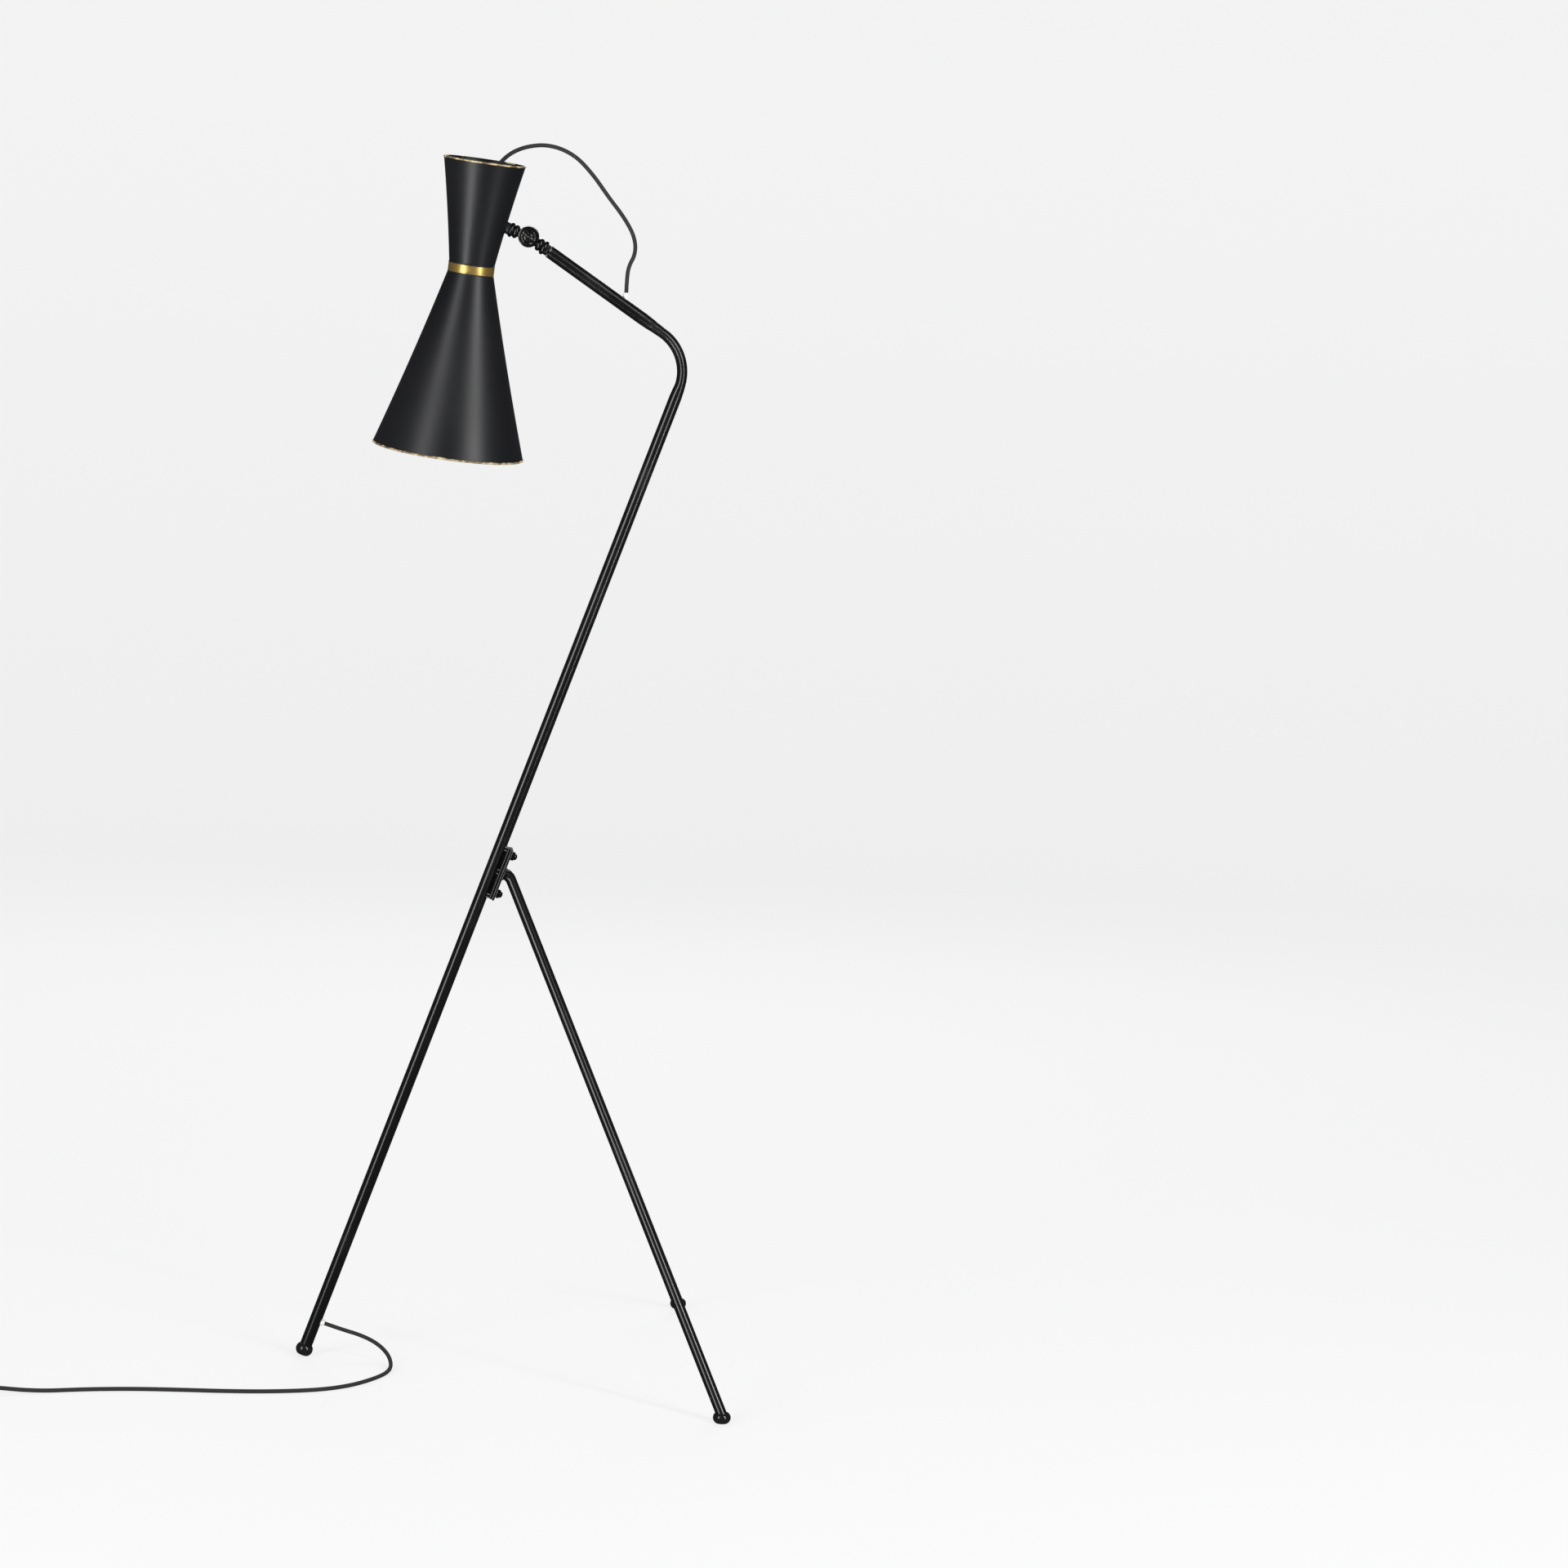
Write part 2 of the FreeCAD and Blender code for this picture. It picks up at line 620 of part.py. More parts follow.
def arm_half():
    """Rear cheek, turned neck with two beads, plain band and the spigot that turns in the arm."""
    spigot_end = ARM_START + BUSH_LENGTH + FACE_GAP + SWIVEL_NUT_T
    neck = (Outline(0, 7).line(NECK_R * 0.9, 7).line(NECK_R * 0.9, 11).line(7.2, 14)
            .arc(8.8, 17.2, 7.2, 20).arc(9.8, 23.8, 7.4, 26.8)
            .line(7.4, SPIGOT_START).line(SPIGOT_R, SPIGOT_START)
            .line(SPIGOT_R, spigot_end).line(0, spigot_end).turned())
    half = neck.cut(room_for_other_cheek(1)).fuse(cheek(1)).cut(screw_hole(SCREW_R))
    return rolled(placed(half, KNUCKLE, ARM_DIR, ACROSS.cross(ARM_DIR)))


def swivel_nut():
    start = ARM_START + BUSH_LENGTH + FACE_GAP
    nut = tube(SWIVEL_NUT_R, SPIGOT_R, start, start + SWIVEL_NUT_T)
    return rolled(placed(nut, KNUCKLE, ARM_DIR, ACROSS))


def wall_radius(height):
    """Outer radius of the upper shade at a height above the neck ring."""
    share = (height - RING_HALF) / (SHADE_TOP - RING_HALF)
    return NECK_TOP_R + (TOP_R - NECK_TOP_R) * share - 4 * TOP_SAG * share * (1 - share)


def neck_axis():
    """Where the knuckle's neck meets the upper shade, and its direction, square to the wall."""
    direction = Vector(-1, 0, 0)
    wall = Vector(0, 0, KNUCKLE_UP)
    for step in range(6):
        wall = Vector(wall_radius(wall.z), 0, wall.z)
        slope = wall_radius(wall.z + 1) - wall_radius(wall.z)
        direction = unit(Vector(-1, 0, slope))
        reach = (KNUCKLE_OUT - wall.x) / -direction.x
        wall = Vector(wall.x, 0, KNUCKLE_UP + direction.z * reach)
    wall = Vector(wall_radius(wall.z), 0, wall.z)
    return wall, unit(wall - Vector(KNUCKLE_OUT, 0, KNUCKLE_UP))


def on_neck(shape):
    """From the neck's lathe frame to the shade's frame."""
    wall, direction = neck_axis()
    return placed(shape, Vector(KNUCKLE_OUT, 0, KNUCKLE_UP), direction, ACROSS.cross(direction))


def head_half():
    """Front cheek, neck with two beads, a plain drum on the shade and the thread through its wall."""
    wall, direction = neck_axis()
    reach = (wall - Vector(KNUCKLE_OUT, 0, KNUCKLE_UP)).Length
    neck = (Outline(0, 7).line(NECK_R * 0.9, 7).line(NECK_R * 0.9, 11).line(6.6, 14)
            .arc(8.95, 17.1, 7.2, 20.4).arc(9.75, 23.5, 7.7, 26.2)
            .line(7.7, reach + 2).line(0, reach + 2).turned())
    neck.rotate(ORIGIN, ACROSS, NECK_RISE)
    half = neck.cut(room_for_other_cheek(-1)).fuse(cheek(-1)).cut(screw_hole(SCREW_R + RUNNING))
    seated = on_neck(half).cut(upper_shell_volume(0))
    thread = on_neck(cylinder(NIPPLE_R, reach - 4, reach + STUB_LENGTH))
    return in_head(seated.fuse(thread))


def knuckle_screw():
    """Slotted screw in the front cheek, threaded through the rear cheek and its nut."""
    under = CHEEK_GAP / 2 + CHEEK_T + FACE_GAP + RING_WASHER_T
    tip = CHEEK_GAP / 2 + CHEEK_T + REAR_NUT_T + 1.5
    shank = Part.makeCylinder(SCREW_R, under + tip, ACROSS * -under, ACROSS)
    head = Part.makeCylinder(SCREW_HEAD_R, SCREW_HEAD_T, ACROSS * -under, ACROSS * -1)
    head = head.makeChamfer(0.6, [e for e in head.Edges if e.BoundBox.YMax < -under - SCREW_HEAD_T + 0.1])
    slot = Part.makeBox(SCREW_HEAD_R * 3, SLOT_DEPTH * 2, SLOT_WIDTH)
    slot.translate(Vector(-SCREW_HEAD_R * 1.5, -under - SCREW_HEAD_T - SLOT_DEPTH, -SLOT_WIDTH / 2))
    slot.rotate(ORIGIN, ACROSS, SLOT_TURN)
    return rolled(shank.fuse(head.cut(slot)).translated(KNUCKLE))


def ring_washer():
    """Turned washer whose rim stands round the screw's head."""
    start = -(CHEEK_GAP / 2 + CHEEK_T + FACE_GAP)
    outline = (Outline(SCREW_R, 0).line(RING_WASHER_R, 0).line(RING_WASHER_R, RING_WASHER_T)
               .arc(RING_WASHER_R - 0.6, RING_WASHER_T + 0.8, SCREW_HEAD_R + 0.5, RING_WASHER_T)
               .line(SCREW_R, RING_WASHER_T).turned())
    return rolled(placed(outline, KNUCKLE + ACROSS * start, ACROSS * -1, UP))


def friction_washer():
    start = CHEEK_GAP / 2
    washer = tube(CHEEK_R - 1.5, SCREW_R, 0, WASHER_THICKNESS)
    return rolled(placed(washer, KNUCKLE + ACROSS * start, ACROSS * -1, UP))


def rear_nut():
    start = CHEEK_GAP / 2 + CHEEK_T
    nut = hex_nut(REAR_NUT_FLATS, SCREW_R, 0, REAR_NUT_T)
    return rolled(placed(nut, KNUCKLE + ACROSS * start, ACROSS, UP))


# ---- shade

def upper_outline(inset):
    """Side of the upper shade from its rim down to the ring, as radius and height."""
    middle = (SHADE_TOP + RING_HALF) / 2
    straight = (TOP_R + NECK_TOP_R) / 2 - TOP_SAG
    return (TOP_R - inset, SHADE_TOP), (straight - inset, middle), (NECK_TOP_R - inset, RING_HALF)


def lower_outline(inset):
    middle = (SHADE_BOTTOM - RING_HALF) / 2
    straight = (BOTTOM_R + NECK_BOTTOM_R) / 2 - BOTTOM_SAG
    return (BOTTOM_R - inset, SHADE_BOTTOM), (straight - inset, middle), (NECK_BOTTOM_R - inset, -RING_HALF)


def upper_shell_volume(inset):
    """All the space inside the upper shade's outer wall, or its inner wall when inset."""
    rim, middle, neck = upper_outline(inset)
    return Outline(0, rim[1]).line(*rim).arc(*middle, *neck).line(0, neck[1]).turned()


def spun_cone(rim, middle, neck, rim_in, middle_in, neck_in, disc_edge):
    """Spun sheet from its rim to the neck, then a straight collar to the disc, with a rolled hem."""
    sheet = (Outline(*rim).arc(*middle, *neck).line(COLLAR_R, neck[1]).line(COLLAR_R, disc_edge)
             .line(COLLAR_R - SHEET, disc_edge).line(COLLAR_R - SHEET, neck_in[1])
             .line(*neck_in).arc(*middle_in, *rim_in).turned())
    side = 1 if rim[1] > 0 else -1
    hem = Part.makeTorus(rim[0] - SHEET / 2, HEM, Vector(0, 0, rim[1] - side * HEM * 0.6))
    return sheet.fuse(hem)


def upper_cone():
    rim_in, middle_in, neck_in = upper_outline(SHEET)
    cone = spun_cone(*upper_outline(0), rim_in, middle_in, neck_in, DISC_T / 2)
    return in_head(cone.cut(on_neck(cylinder(NIPPLE_R, 0, KNUCKLE_OUT))))


def lower_cone():
    rim_in, middle_in, neck_in = lower_outline(SHEET)
    return in_head(spun_cone(*lower_outline(0), rim_in, middle_in, neck_in, -DISC_T / 2))


def neck_ring():
    """Brass band over the joint of the two cones."""
    ring = (Outline(COLLAR_R, -RING_HALF).line(RING_R - 0.4, -RING_HALF).line(RING_R, -RING_HALF + 0.8)
            .line(RING_R, RING_HALF - 0.8).line(RING_R - 0.4, RING_HALF).line(COLLAR_R, RING_HALF).turned())
    return in_head(ring)


def neck_disc():
    disc = cylinder(COLLAR_R, -DISC_T / 2, DISC_T / 2).cut(cylinder(NIPPLE_R, -DISC_T, DISC_T))
    for k in range(3):
        angle = math.radians(60 + 120 * k)
        vent = Vector(18 * math.cos(angle), 18 * math.sin(angle), 0)
        disc = disc.cut(cylinder(4, -DISC_T, DISC_T, vent))
    return in_head(disc)


def shade_washer():
    """Washer inside the upper shade, its face following the wall."""
    wall, direction = neck_axis()
    reach = (wall - Vector(KNUCKLE_OUT, 0, KNUCKLE_UP)).Length
    washer = tube(SHADE_WASHER_R, NIPPLE_R, reach - 1, nut_seat(reach))
    return in_head(on_neck(washer).common(upper_shell_volume(SHEET)))


def nut_seat(reach):
    """Flat side of the inner washer, from the knuckle's centre; its edge is thinnest there."""
    curve = SHADE_WASHER_R ** 2 / (2 * wall_radius(KNUCKLE_UP))
    return reach + SHEET + curve + SHADE_WASHER_T


def shade_nut():
    wall, direction = neck_axis()
    reach = (wall - Vector(KNUCKLE_OUT, 0, KNUCKLE_UP)).Length
    start = nut_seat(reach)
    return in_head(on_neck(hex_nut(SHADE_NUT_FLATS, NIPPLE_R, start, start + SHADE_NUT_T)))


# ---- lamp holder and bulb

def holder_nipple():
    return in_head(tube(NIPPLE_R, NIPPLE_BORE_R, NIPPLE_BOTTOM, NIPPLE_TOP))


def nipple_nuts():
    half = DISC_T / 2
    upper = hex_nut(NIPPLE_NUT_FLATS, NIPPLE_R, half, half + NIPPLE_NUT_T)
    lower = hex_nut(NIPPLE_NUT_FLATS, NIPPLE_R, -half - NIPPLE_NUT_T, -half)
    return in_head(Part.makeCompound([upper, lower]))


def holder_cap():
    """Domed cap screwed on the nipple, its skirt taking the body."""
    outside = (Outline(0, CAP_TOP).line(8, CAP_TOP).arc(16, CAP_TOP - 5, HOLDER_R, CAP_BOTTOM + 4)
               .line(HOLDER_R, CAP_BOTTOM).line(0, CAP_BOTTOM).turned())
    inner_r = HOLDER_R - HOLDER_WALL
    roof = CAP_TOP - 8
    inside = (Outline(0, roof).line(8, roof).arc(14, roof - 3, inner_r, CAP_BOTTOM + 3)
              .line(inner_r, CAP_BOTTOM).line(0, CAP_BOTTOM).turned())
    return in_head(outside.cut(inside).cut(cylinder(NIPPLE_R, roof - 2, CAP_TOP)))


def holder_body():
    inner_r = HOLDER_R - HOLDER_WALL
    skirt = tube(HOLDER_R, inner_r, BODY_BOTTOM, CAP_BOTTOM)
    lip = tube(inner_r, SHELL_R + SHELL_T, BODY_BOTTOM, BODY_BOTTOM + 2.5)
    return in_head(skirt.fuse(lip))


def insert_bottom():
    return CAP_BOTTOM - INSERT_T


def holder_insert():
    """Porcelain disc that carries the contacts, held in the body, with two wire holes."""
    insert = cylinder(HOLDER_R - HOLDER_WALL, insert_bottom(), CAP_BOTTOM)
    for side in (-1, 1):
        insert = insert.cut(cylinder(2, insert_bottom(), CAP_BOTTOM, Vector(side * 9, 0, 0)))
    return in_head(insert)


def screw_shell():
    shell = tube(SHELL_R, SHELL_R - SHELL_T, BODY_BOTTOM + 3, insert_bottom())
    return in_head(shell)


def centre_contact():
    gap = 0.2
    strip = block(14, 5, insert_bottom() - 0.8, insert_bottom())
    button = cylinder(3, BULB_CAP_TOP + gap, insert_bottom() - 0.8)
    return in_head(strip.fuse(button))


def bulb_cap():
    """Screw cap: contact button, insulator cone and threaded shell as one turned piece."""
    bottom = BULB_CAP_TOP - BULB_CAP_LENGTH
    outline = (Outline(0, BULB_CAP_TOP).line(4, BULB_CAP_TOP).line(4.6, BULB_CAP_TOP - 1)
               .line(BULB_CAP_R - 1.5, BULB_CAP_TOP - 4.5).line(BULB_CAP_R, BULB_CAP_TOP - 6)
               .line(BULB_CAP_R, bottom + 3).line(BULB_CAP_R + 0.6, bottom + 2)
               .line(BULB_CAP_R + 0.6, bottom).line(0, bottom).turned())
    return in_head(outline)


def bulb_glass():
    top = BULB_CAP_TOP - BULB_CAP_LENGTH
    return in_head(bulb_volume(0, top).cut(bulb_volume(BULB_WALL, top - BULB_WALL)))


def bulb_volume(inset, top):
    radius = BULB_R - inset
    neck_r = BULB_NECK_R - inset
    neck_end = top - 10
    shoulder = (radius * math.cos(math.radians(38)), BULB_CENTRE + radius * math.sin(math.radians(38)))
    bend = (neck_r + 1.6, (neck_end + shoulder[1]) / 2 + 2)
    return (Outline(0, top).line(neck_r, top).line(neck_r, neck_end).arc(*bend, *shoulder)
            .arc(radius, BULB_CENTRE, 0, BULB_CENTRE - radius).turned())


# ---- switch on the lead, in its own frame: origin on the floor under its middle

def on_switch(shape):
    return shape.translated(Vector(SWITCH_X, SWITCH_Y, 0))


def switch_blank(inset):
    """Rounded block, or its hollow when inset by the wall."""
    length = SWITCH_LENGTH - 2 * inset
    width = SWITCH_WIDTH - 2 * inset
    box = block(length, width, inset, SWITCH_HEIGHT - inset, SWITCH_ROUND)
    top = [e for e in box.Edges if e.BoundBox.ZMin > SWITCH_HEIGHT - inset - 0.01]
    return box.makeFillet(2.0, top)


def cord_way(radius):
    """Bar along the cord's axis through both ends of the switch."""
    length = SWITCH_LENGTH + 4 * BOOT_LENGTH
    return Part.makeCylinder(radius, length, Vector(-length / 2, 0, SWITCH_SEAM), Vector(1, 0, 0))


def screw_places():
    return [Vector(SWITCH_SCREW_X, SWITCH_SCREW_Y, 0), Vector(-SWITCH_SCREW_X, -SWITCH_SCREW_Y, 0)]


def switch_shell(bottom, top):
    """The part of the hollow housing between two heights, with its screw posts."""
    shell = switch_blank(0).cut(switch_blank(SWITCH_WALL))
    for place in screw_places():
        post = cylinder(SWITCH_SCREW_R + 1.6, SWITCH_WALL / 2, SWITCH_HEIGHT - SWITCH_WALL / 2, place)
        shell = shell.fuse(post)
    band = block(SWITCH_LENGTH * 2, SWITCH_WIDTH * 2, bottom, top)
    return shell.common(band).cut(cord_way(BOOT_NECK_R))


def switch_base():
    base = switch_shell(0, SWITCH_SEAM)
    for place in screw_places():
        base = base.cut(cylinder(SWITCH_SCREW_R, 0, SWITCH_SEAM, place))
        base = base.cut(cylinder(SWITCH_SCREW_HEAD_R, 0, 2, place))
    return on_switch(base)


def screw_tip():
    return SWITCH_HEIGHT - 4.0


def switch_cover():
    """Upper shell with the rocker's window and a bearing block each side of it."""
    cover = switch_shell(SWITCH_SEAM, SWITCH_HEIGHT)
    inner_half = SWITCH_WIDTH / 2 - SWITCH_WALL / 2
    for side in (-1, 1):
        bearing = Part.makeBox(6, inner_half - ROCKER_WIDTH / 2 - WINDOW_GAP, 6)
        y = ROCKER_WIDTH / 2 + WINDOW_GAP if side > 0 else -inner_half
        cover = cover.fuse(bearing.translated(Vector(-3, y, ROCKER_PIVOT_Z - 3)))
    window = block(ROCKER_LENGTH + 2 * WINDOW_GAP, ROCKER_WIDTH + 2 * WINDOW_GAP, SWITCH_SEAM, SWITCH_HEIGHT + 1)
    pin_way = Part.makeCylinder(ROCKER_PIN_R + RUNNING, 2 * ROCKER_PIN_HALF + 2 * FACE_GAP,
                                Vector(0, -ROCKER_PIN_HALF - FACE_GAP, ROCKER_PIVOT_Z), ACROSS)
    cover = cover.cut(window).cut(pin_way)
    for place in screw_places():
        cover = cover.cut(cylinder(SWITCH_SCREW_R, SWITCH_SEAM, screw_tip(), place))
    return on_switch(cover)


def rocker_pivot():
    return Vector(SWITCH_X, SWITCH_Y, ROCKER_PIVOT_Z)


def switch_rocker():
    """Rocker with a shallow V on top and trunnions, resting on its off side."""
    half = ROCKER_LENGTH / 2
    corners = [Vector(-half, 0, ROCKER_TOP), Vector(0, 0, ROCKER_TOP - 1.6), Vector(half, 0, ROCKER_TOP),
               Vector(half, 0, ROCKER_PIVOT_Z), Vector(half * 0.5, 0, ROCKER_BOTTOM),
               Vector(-half * 0.5, 0, ROCKER_BOTTOM), Vector(-half, 0, ROCKER_PIVOT_Z)]
    side = Part.Face(Part.makePolygon(corners + corners[:1]))
    body = side.extrude(ACROSS * ROCKER_WIDTH).translated(ACROSS * (-ROCKER_WIDTH / 2))
    pins = Part.makeCylinder(ROCKER_PIN_R, 2 * ROCKER_PIN_HALF,
                             Vector(0, -ROCKER_PIN_HALF, ROCKER_PIVOT_Z), ACROSS)
    rocker = on_switch(body.fuse(pins))
    rocker.rotate(rocker_pivot(), ACROSS, -ROCKER_TILT)
    return rocker


def switch_screws():
    screws = [cylinder(SWITCH_SCREW_R, 0.4, screw_tip(), p).fuse(cylinder(SWITCH_SCREW_HEAD_R, 0.4, 2, p))
              for p in screw_places()]
    return on_switch(Part.makeCompound(screws))


def switch_boots():
    """Tapered strain reliefs, each with a neck in the housing's end and a flange inside it."""
    boots = []
    half = SWITCH_LENGTH / 2
    for side in (-1, 1):
        boot = (Outline(CORD_R, -SWITCH_WALL - 1.5).line(BOOT_FLANGE_R, -SWITCH_WALL - 1.5)
                .line(BOOT_FLANGE_R, -SWITCH_WALL).line(BOOT_NECK_R, -SWITCH_WALL).line(BOOT_NECK_R, 0)
                .line(BOOT_ROOT_R, 0).line(BOOT_TIP_R, BOOT_LENGTH).line(CORD_R, BOOT_LENGTH).turned())
        boots.append(placed(boot, Vector(side * half, 0, SWITCH_SEAM), Vector(side, 0, 0), UP))
    return on_switch(Part.makeCompound(boots))


def switch_contacts():
    """Two brass terminals under the ends of the rocker, on the base's floor."""
    terminals = []
    for side in (-1, 1):
        block_part = block(6, 8, SWITCH_WALL, 6.0).translated(Vector(side * 14, 0, 0))
        arm = block(9, 4, 5.2, 6.0).translated(Vector(side * 7.5, 0, 0))
        terminals.append(block_part.fuse(arm))
    return on_switch(Part.makeCompound(terminals))


# ---- coil, ties and plug

def coil_centre():
    return Vector(COIL_X, COIL_Y, TIE_T)


def lead_coil():
    """Outer shape of the wound turns, its corners rounded by the cord."""
    inner = COIL_MEAN_R - COIL_HALF_WIDTH
    outer = COIL_MEAN_R + COIL_HALF_WIDTH
    ring = tube(outer, inner, 0, COIL_HEIGHT)
    return ring.makeFillet(CORD_R * 0.9, [e for e in ring.Edges if len(e.Vertexes) == 1]).translated(coil_centre())


def coil_ties():
    """Flat straps round the bundle, one each side; the coil lies on them."""
    ties = []
    inner = COIL_MEAN_R - COIL_HALF_WIDTH
    width = 2 * COIL_HALF_WIDTH
    for side in (-1, 1):
        x = side * inner if side > 0 else -inner - width
        outside = Part.makeBox(width + 2 * TIE_T, TIE_WIDTH, COIL_HEIGHT + 2 * TIE_T)
        outside.translate(Vector(x - TIE_T, -TIE_WIDTH / 2, -TIE_T))
        ties.append(outside.translated(coil_centre()).cut(lead_coil()))
    return Part.makeCompound(ties)


def plug_body():
    """Flat two-pin plug that narrows to a tapered boot where the lead enters."""
    half = PLUG_WIDTH / 2
    back = PLUG_BACK_WIDTH / 2
    corners = [Vector(0, -half, 0), Vector(0, half, 0), Vector(-PLUG_LENGTH * 0.45, half, 0),
               Vector(-PLUG_LENGTH, back, 0), Vector(-PLUG_LENGTH, -back, 0),
               Vector(-PLUG_LENGTH * 0.45, -half, 0)]
    body = Part.Face(Part.makePolygon(corners + corners[:1])).extrude(UP * PLUG_HEIGHT)
    body = body.makeFillet(2.5, body.Edges).translated(Vector(PLUG_X, PLUG_Y, PLUG_Z - PLUG_HEIGHT / 2))
    boot = (Outline(0, 0).line(BOOT_ROOT_R, 0).line(BOOT_TIP_R, PLUG_BOOT).line(0, PLUG_BOOT).turned())
    root = Vector(PLUG_X - PLUG_LENGTH, PLUG_Y, PLUG_Z)
    boot = placed(boot, root, Vector(-1, 0, 0), UP)
    way = Part.makeCylinder(CORD_R, PLUG_BOOT * 4, PLUG_LEAD_POINTS[-1], Vector(-1, 0, 0))
    pins = [Part.makeCylinder(PIN_R, PIN_LENGTH, place - Vector(PIN_DEPTH, 0, 0), Vector(1, 0, 0))
            for place in pin_places()]
    return body.fuse(boot).cut(way).cut(Part.makeCompound(pins))


def pin_places():
    return [Vector(PLUG_X, PLUG_Y + side * PIN_SPACING / 2, PLUG_Z) for side in (-1, 1)]


def plug_pins():
    pins = []
    for place in pin_places():
        pin = (Outline(0, -PIN_DEPTH).line(PIN_R, -PIN_DEPTH).line(PIN_R, PIN_LENGTH - PIN_NOSE)
               .line(PIN_R - PIN_NOSE, PIN_LENGTH).line(0, PIN_LENGTH).turned())
        pins.append(placed(pin, place, Vector(1, 0, 0), UP))
    return Part.makeCompound(pins)


def build():
    foot, stem_start = stem_foot()
    return {
        "stem_tube": stem_tube(stem_start),
        "stem_foot": foot,
        "arm_bush": arm_bush(),
        "upper_collar": upper_collar(),
        "lower_collar": lower_collar(),
        "inner_lead": inner_lead(),
        "clamp_bridge": clamp_bridge(),
        "leg_plate": leg_plate(),
        "front_leg": leg(-1),
        "rear_leg": leg(1),
        "leg_feet": Part.makeCompound([leg_foot(-1), leg_foot(1)]),
        "clamp_bolts": clamp_bolts(),
        "clamp_washers": clamp_washers(),
        "cap_nuts": cap_nuts(),
        "knuckle_arm_half": arm_half(),
        "swivel_nut": swivel_nut(),
        "knuckle_screw": knuckle_screw(),
        "ring_washer": ring_washer(),
        "friction_washer": friction_washer(),
        "knuckle_nut": rear_nut(),
        "knuckle_head_half": head_half(),
        "shade_washer": shade_washer(),
        "shade_nut": shade_nut(),
        "upper_cone": upper_cone(),
        "lower_cone": lower_cone(),
        "neck_ring": neck_ring(),
        "neck_disc": neck_disc(),
        "holder_nipple": holder_nipple(),
        "nipple_nuts": nipple_nuts(),
        "holder_cap": holder_cap(),
        "holder_body": holder_body(),
        "holder_insert": holder_insert(),
        "screw_shell": screw_shell(),
        "centre_contact": centre_contact(),
        "bulb_cap": bulb_cap(),
        "bulb_glass": bulb_glass(),
        "head_cord": cord("head_cord", HEAD_CORD_POINTS),
        "mains_lead": cord("mains_lead", MAINS_LEAD_POINTS),
        "lead_tail": cord("lead_tail", TAIL_POINTS),
        "lead_coil": lead_coil(),
        "coil_ties": coil_ties(),
        "plug_lead": cord("plug_lead", PLUG_LEAD_POINTS),
        "plug_body": plug_body(),
        "plug_pins": plug_pins(),
        "switch_base": switch_base(),
        "switch_cover": switch_cover(),
        "switch_rocker": switch_rocker(),
        "switch_screws": switch_screws(),
        "switch_boots": switch_boots(),
        "switch_contacts": switch_contacts(),
    }


os.makedirs("parts", exist_ok=True)
for name, shape in build().items():
    if not shape.isValid():
        print("not valid:", name)
    shape.exportStep("parts/%s.step" % name)

head = head_placement()
print("knuckle", KNUCKLE, "arm", ARM_DIR)
print("screw axis", FreeCAD.Rotation(ARM_DIR, HEAD_ROLL).multVec(ACROSS))
print("neck ring", head.multVec(ORIGIN), "shade axis", head.Rotation.multVec(UP))
print("rocker pivot", rocker_pivot())
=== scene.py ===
import math
import bmesh
import bpy
from mathutils import Matrix, Vector


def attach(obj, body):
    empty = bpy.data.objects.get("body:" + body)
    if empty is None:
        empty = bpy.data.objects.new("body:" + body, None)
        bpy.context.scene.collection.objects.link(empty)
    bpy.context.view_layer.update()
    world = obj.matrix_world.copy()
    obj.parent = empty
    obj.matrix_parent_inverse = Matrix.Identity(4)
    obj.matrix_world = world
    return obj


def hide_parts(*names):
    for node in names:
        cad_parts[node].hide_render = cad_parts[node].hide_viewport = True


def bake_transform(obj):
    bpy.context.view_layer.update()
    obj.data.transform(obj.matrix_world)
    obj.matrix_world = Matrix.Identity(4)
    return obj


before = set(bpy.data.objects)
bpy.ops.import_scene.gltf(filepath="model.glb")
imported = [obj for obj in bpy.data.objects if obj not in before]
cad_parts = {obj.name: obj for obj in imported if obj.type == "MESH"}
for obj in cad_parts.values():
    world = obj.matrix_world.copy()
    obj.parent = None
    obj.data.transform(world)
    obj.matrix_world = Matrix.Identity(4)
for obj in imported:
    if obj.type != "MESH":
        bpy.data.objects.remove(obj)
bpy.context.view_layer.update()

bl_info = {
    "name": "Tripod Floor Lamp",
    "version": (1, 0, 0),
    "blender": (4, 5, 0),
    "location": "3D View > Sidebar > Lamp",
    "description": "Builds a tripod floor lamp with a waisted tilting shade, piece by piece",
    "category": "Add Mesh",
}

# Pieces are drawn in millimetres in their own frames and placed in metres.
# X runs from the rear foot to the two front legs, Y is across, the floor is Z = 0.
MM = 0.001
UP = Vector((0, 0, 1))
ACROSS = Vector((0, 1, 0))

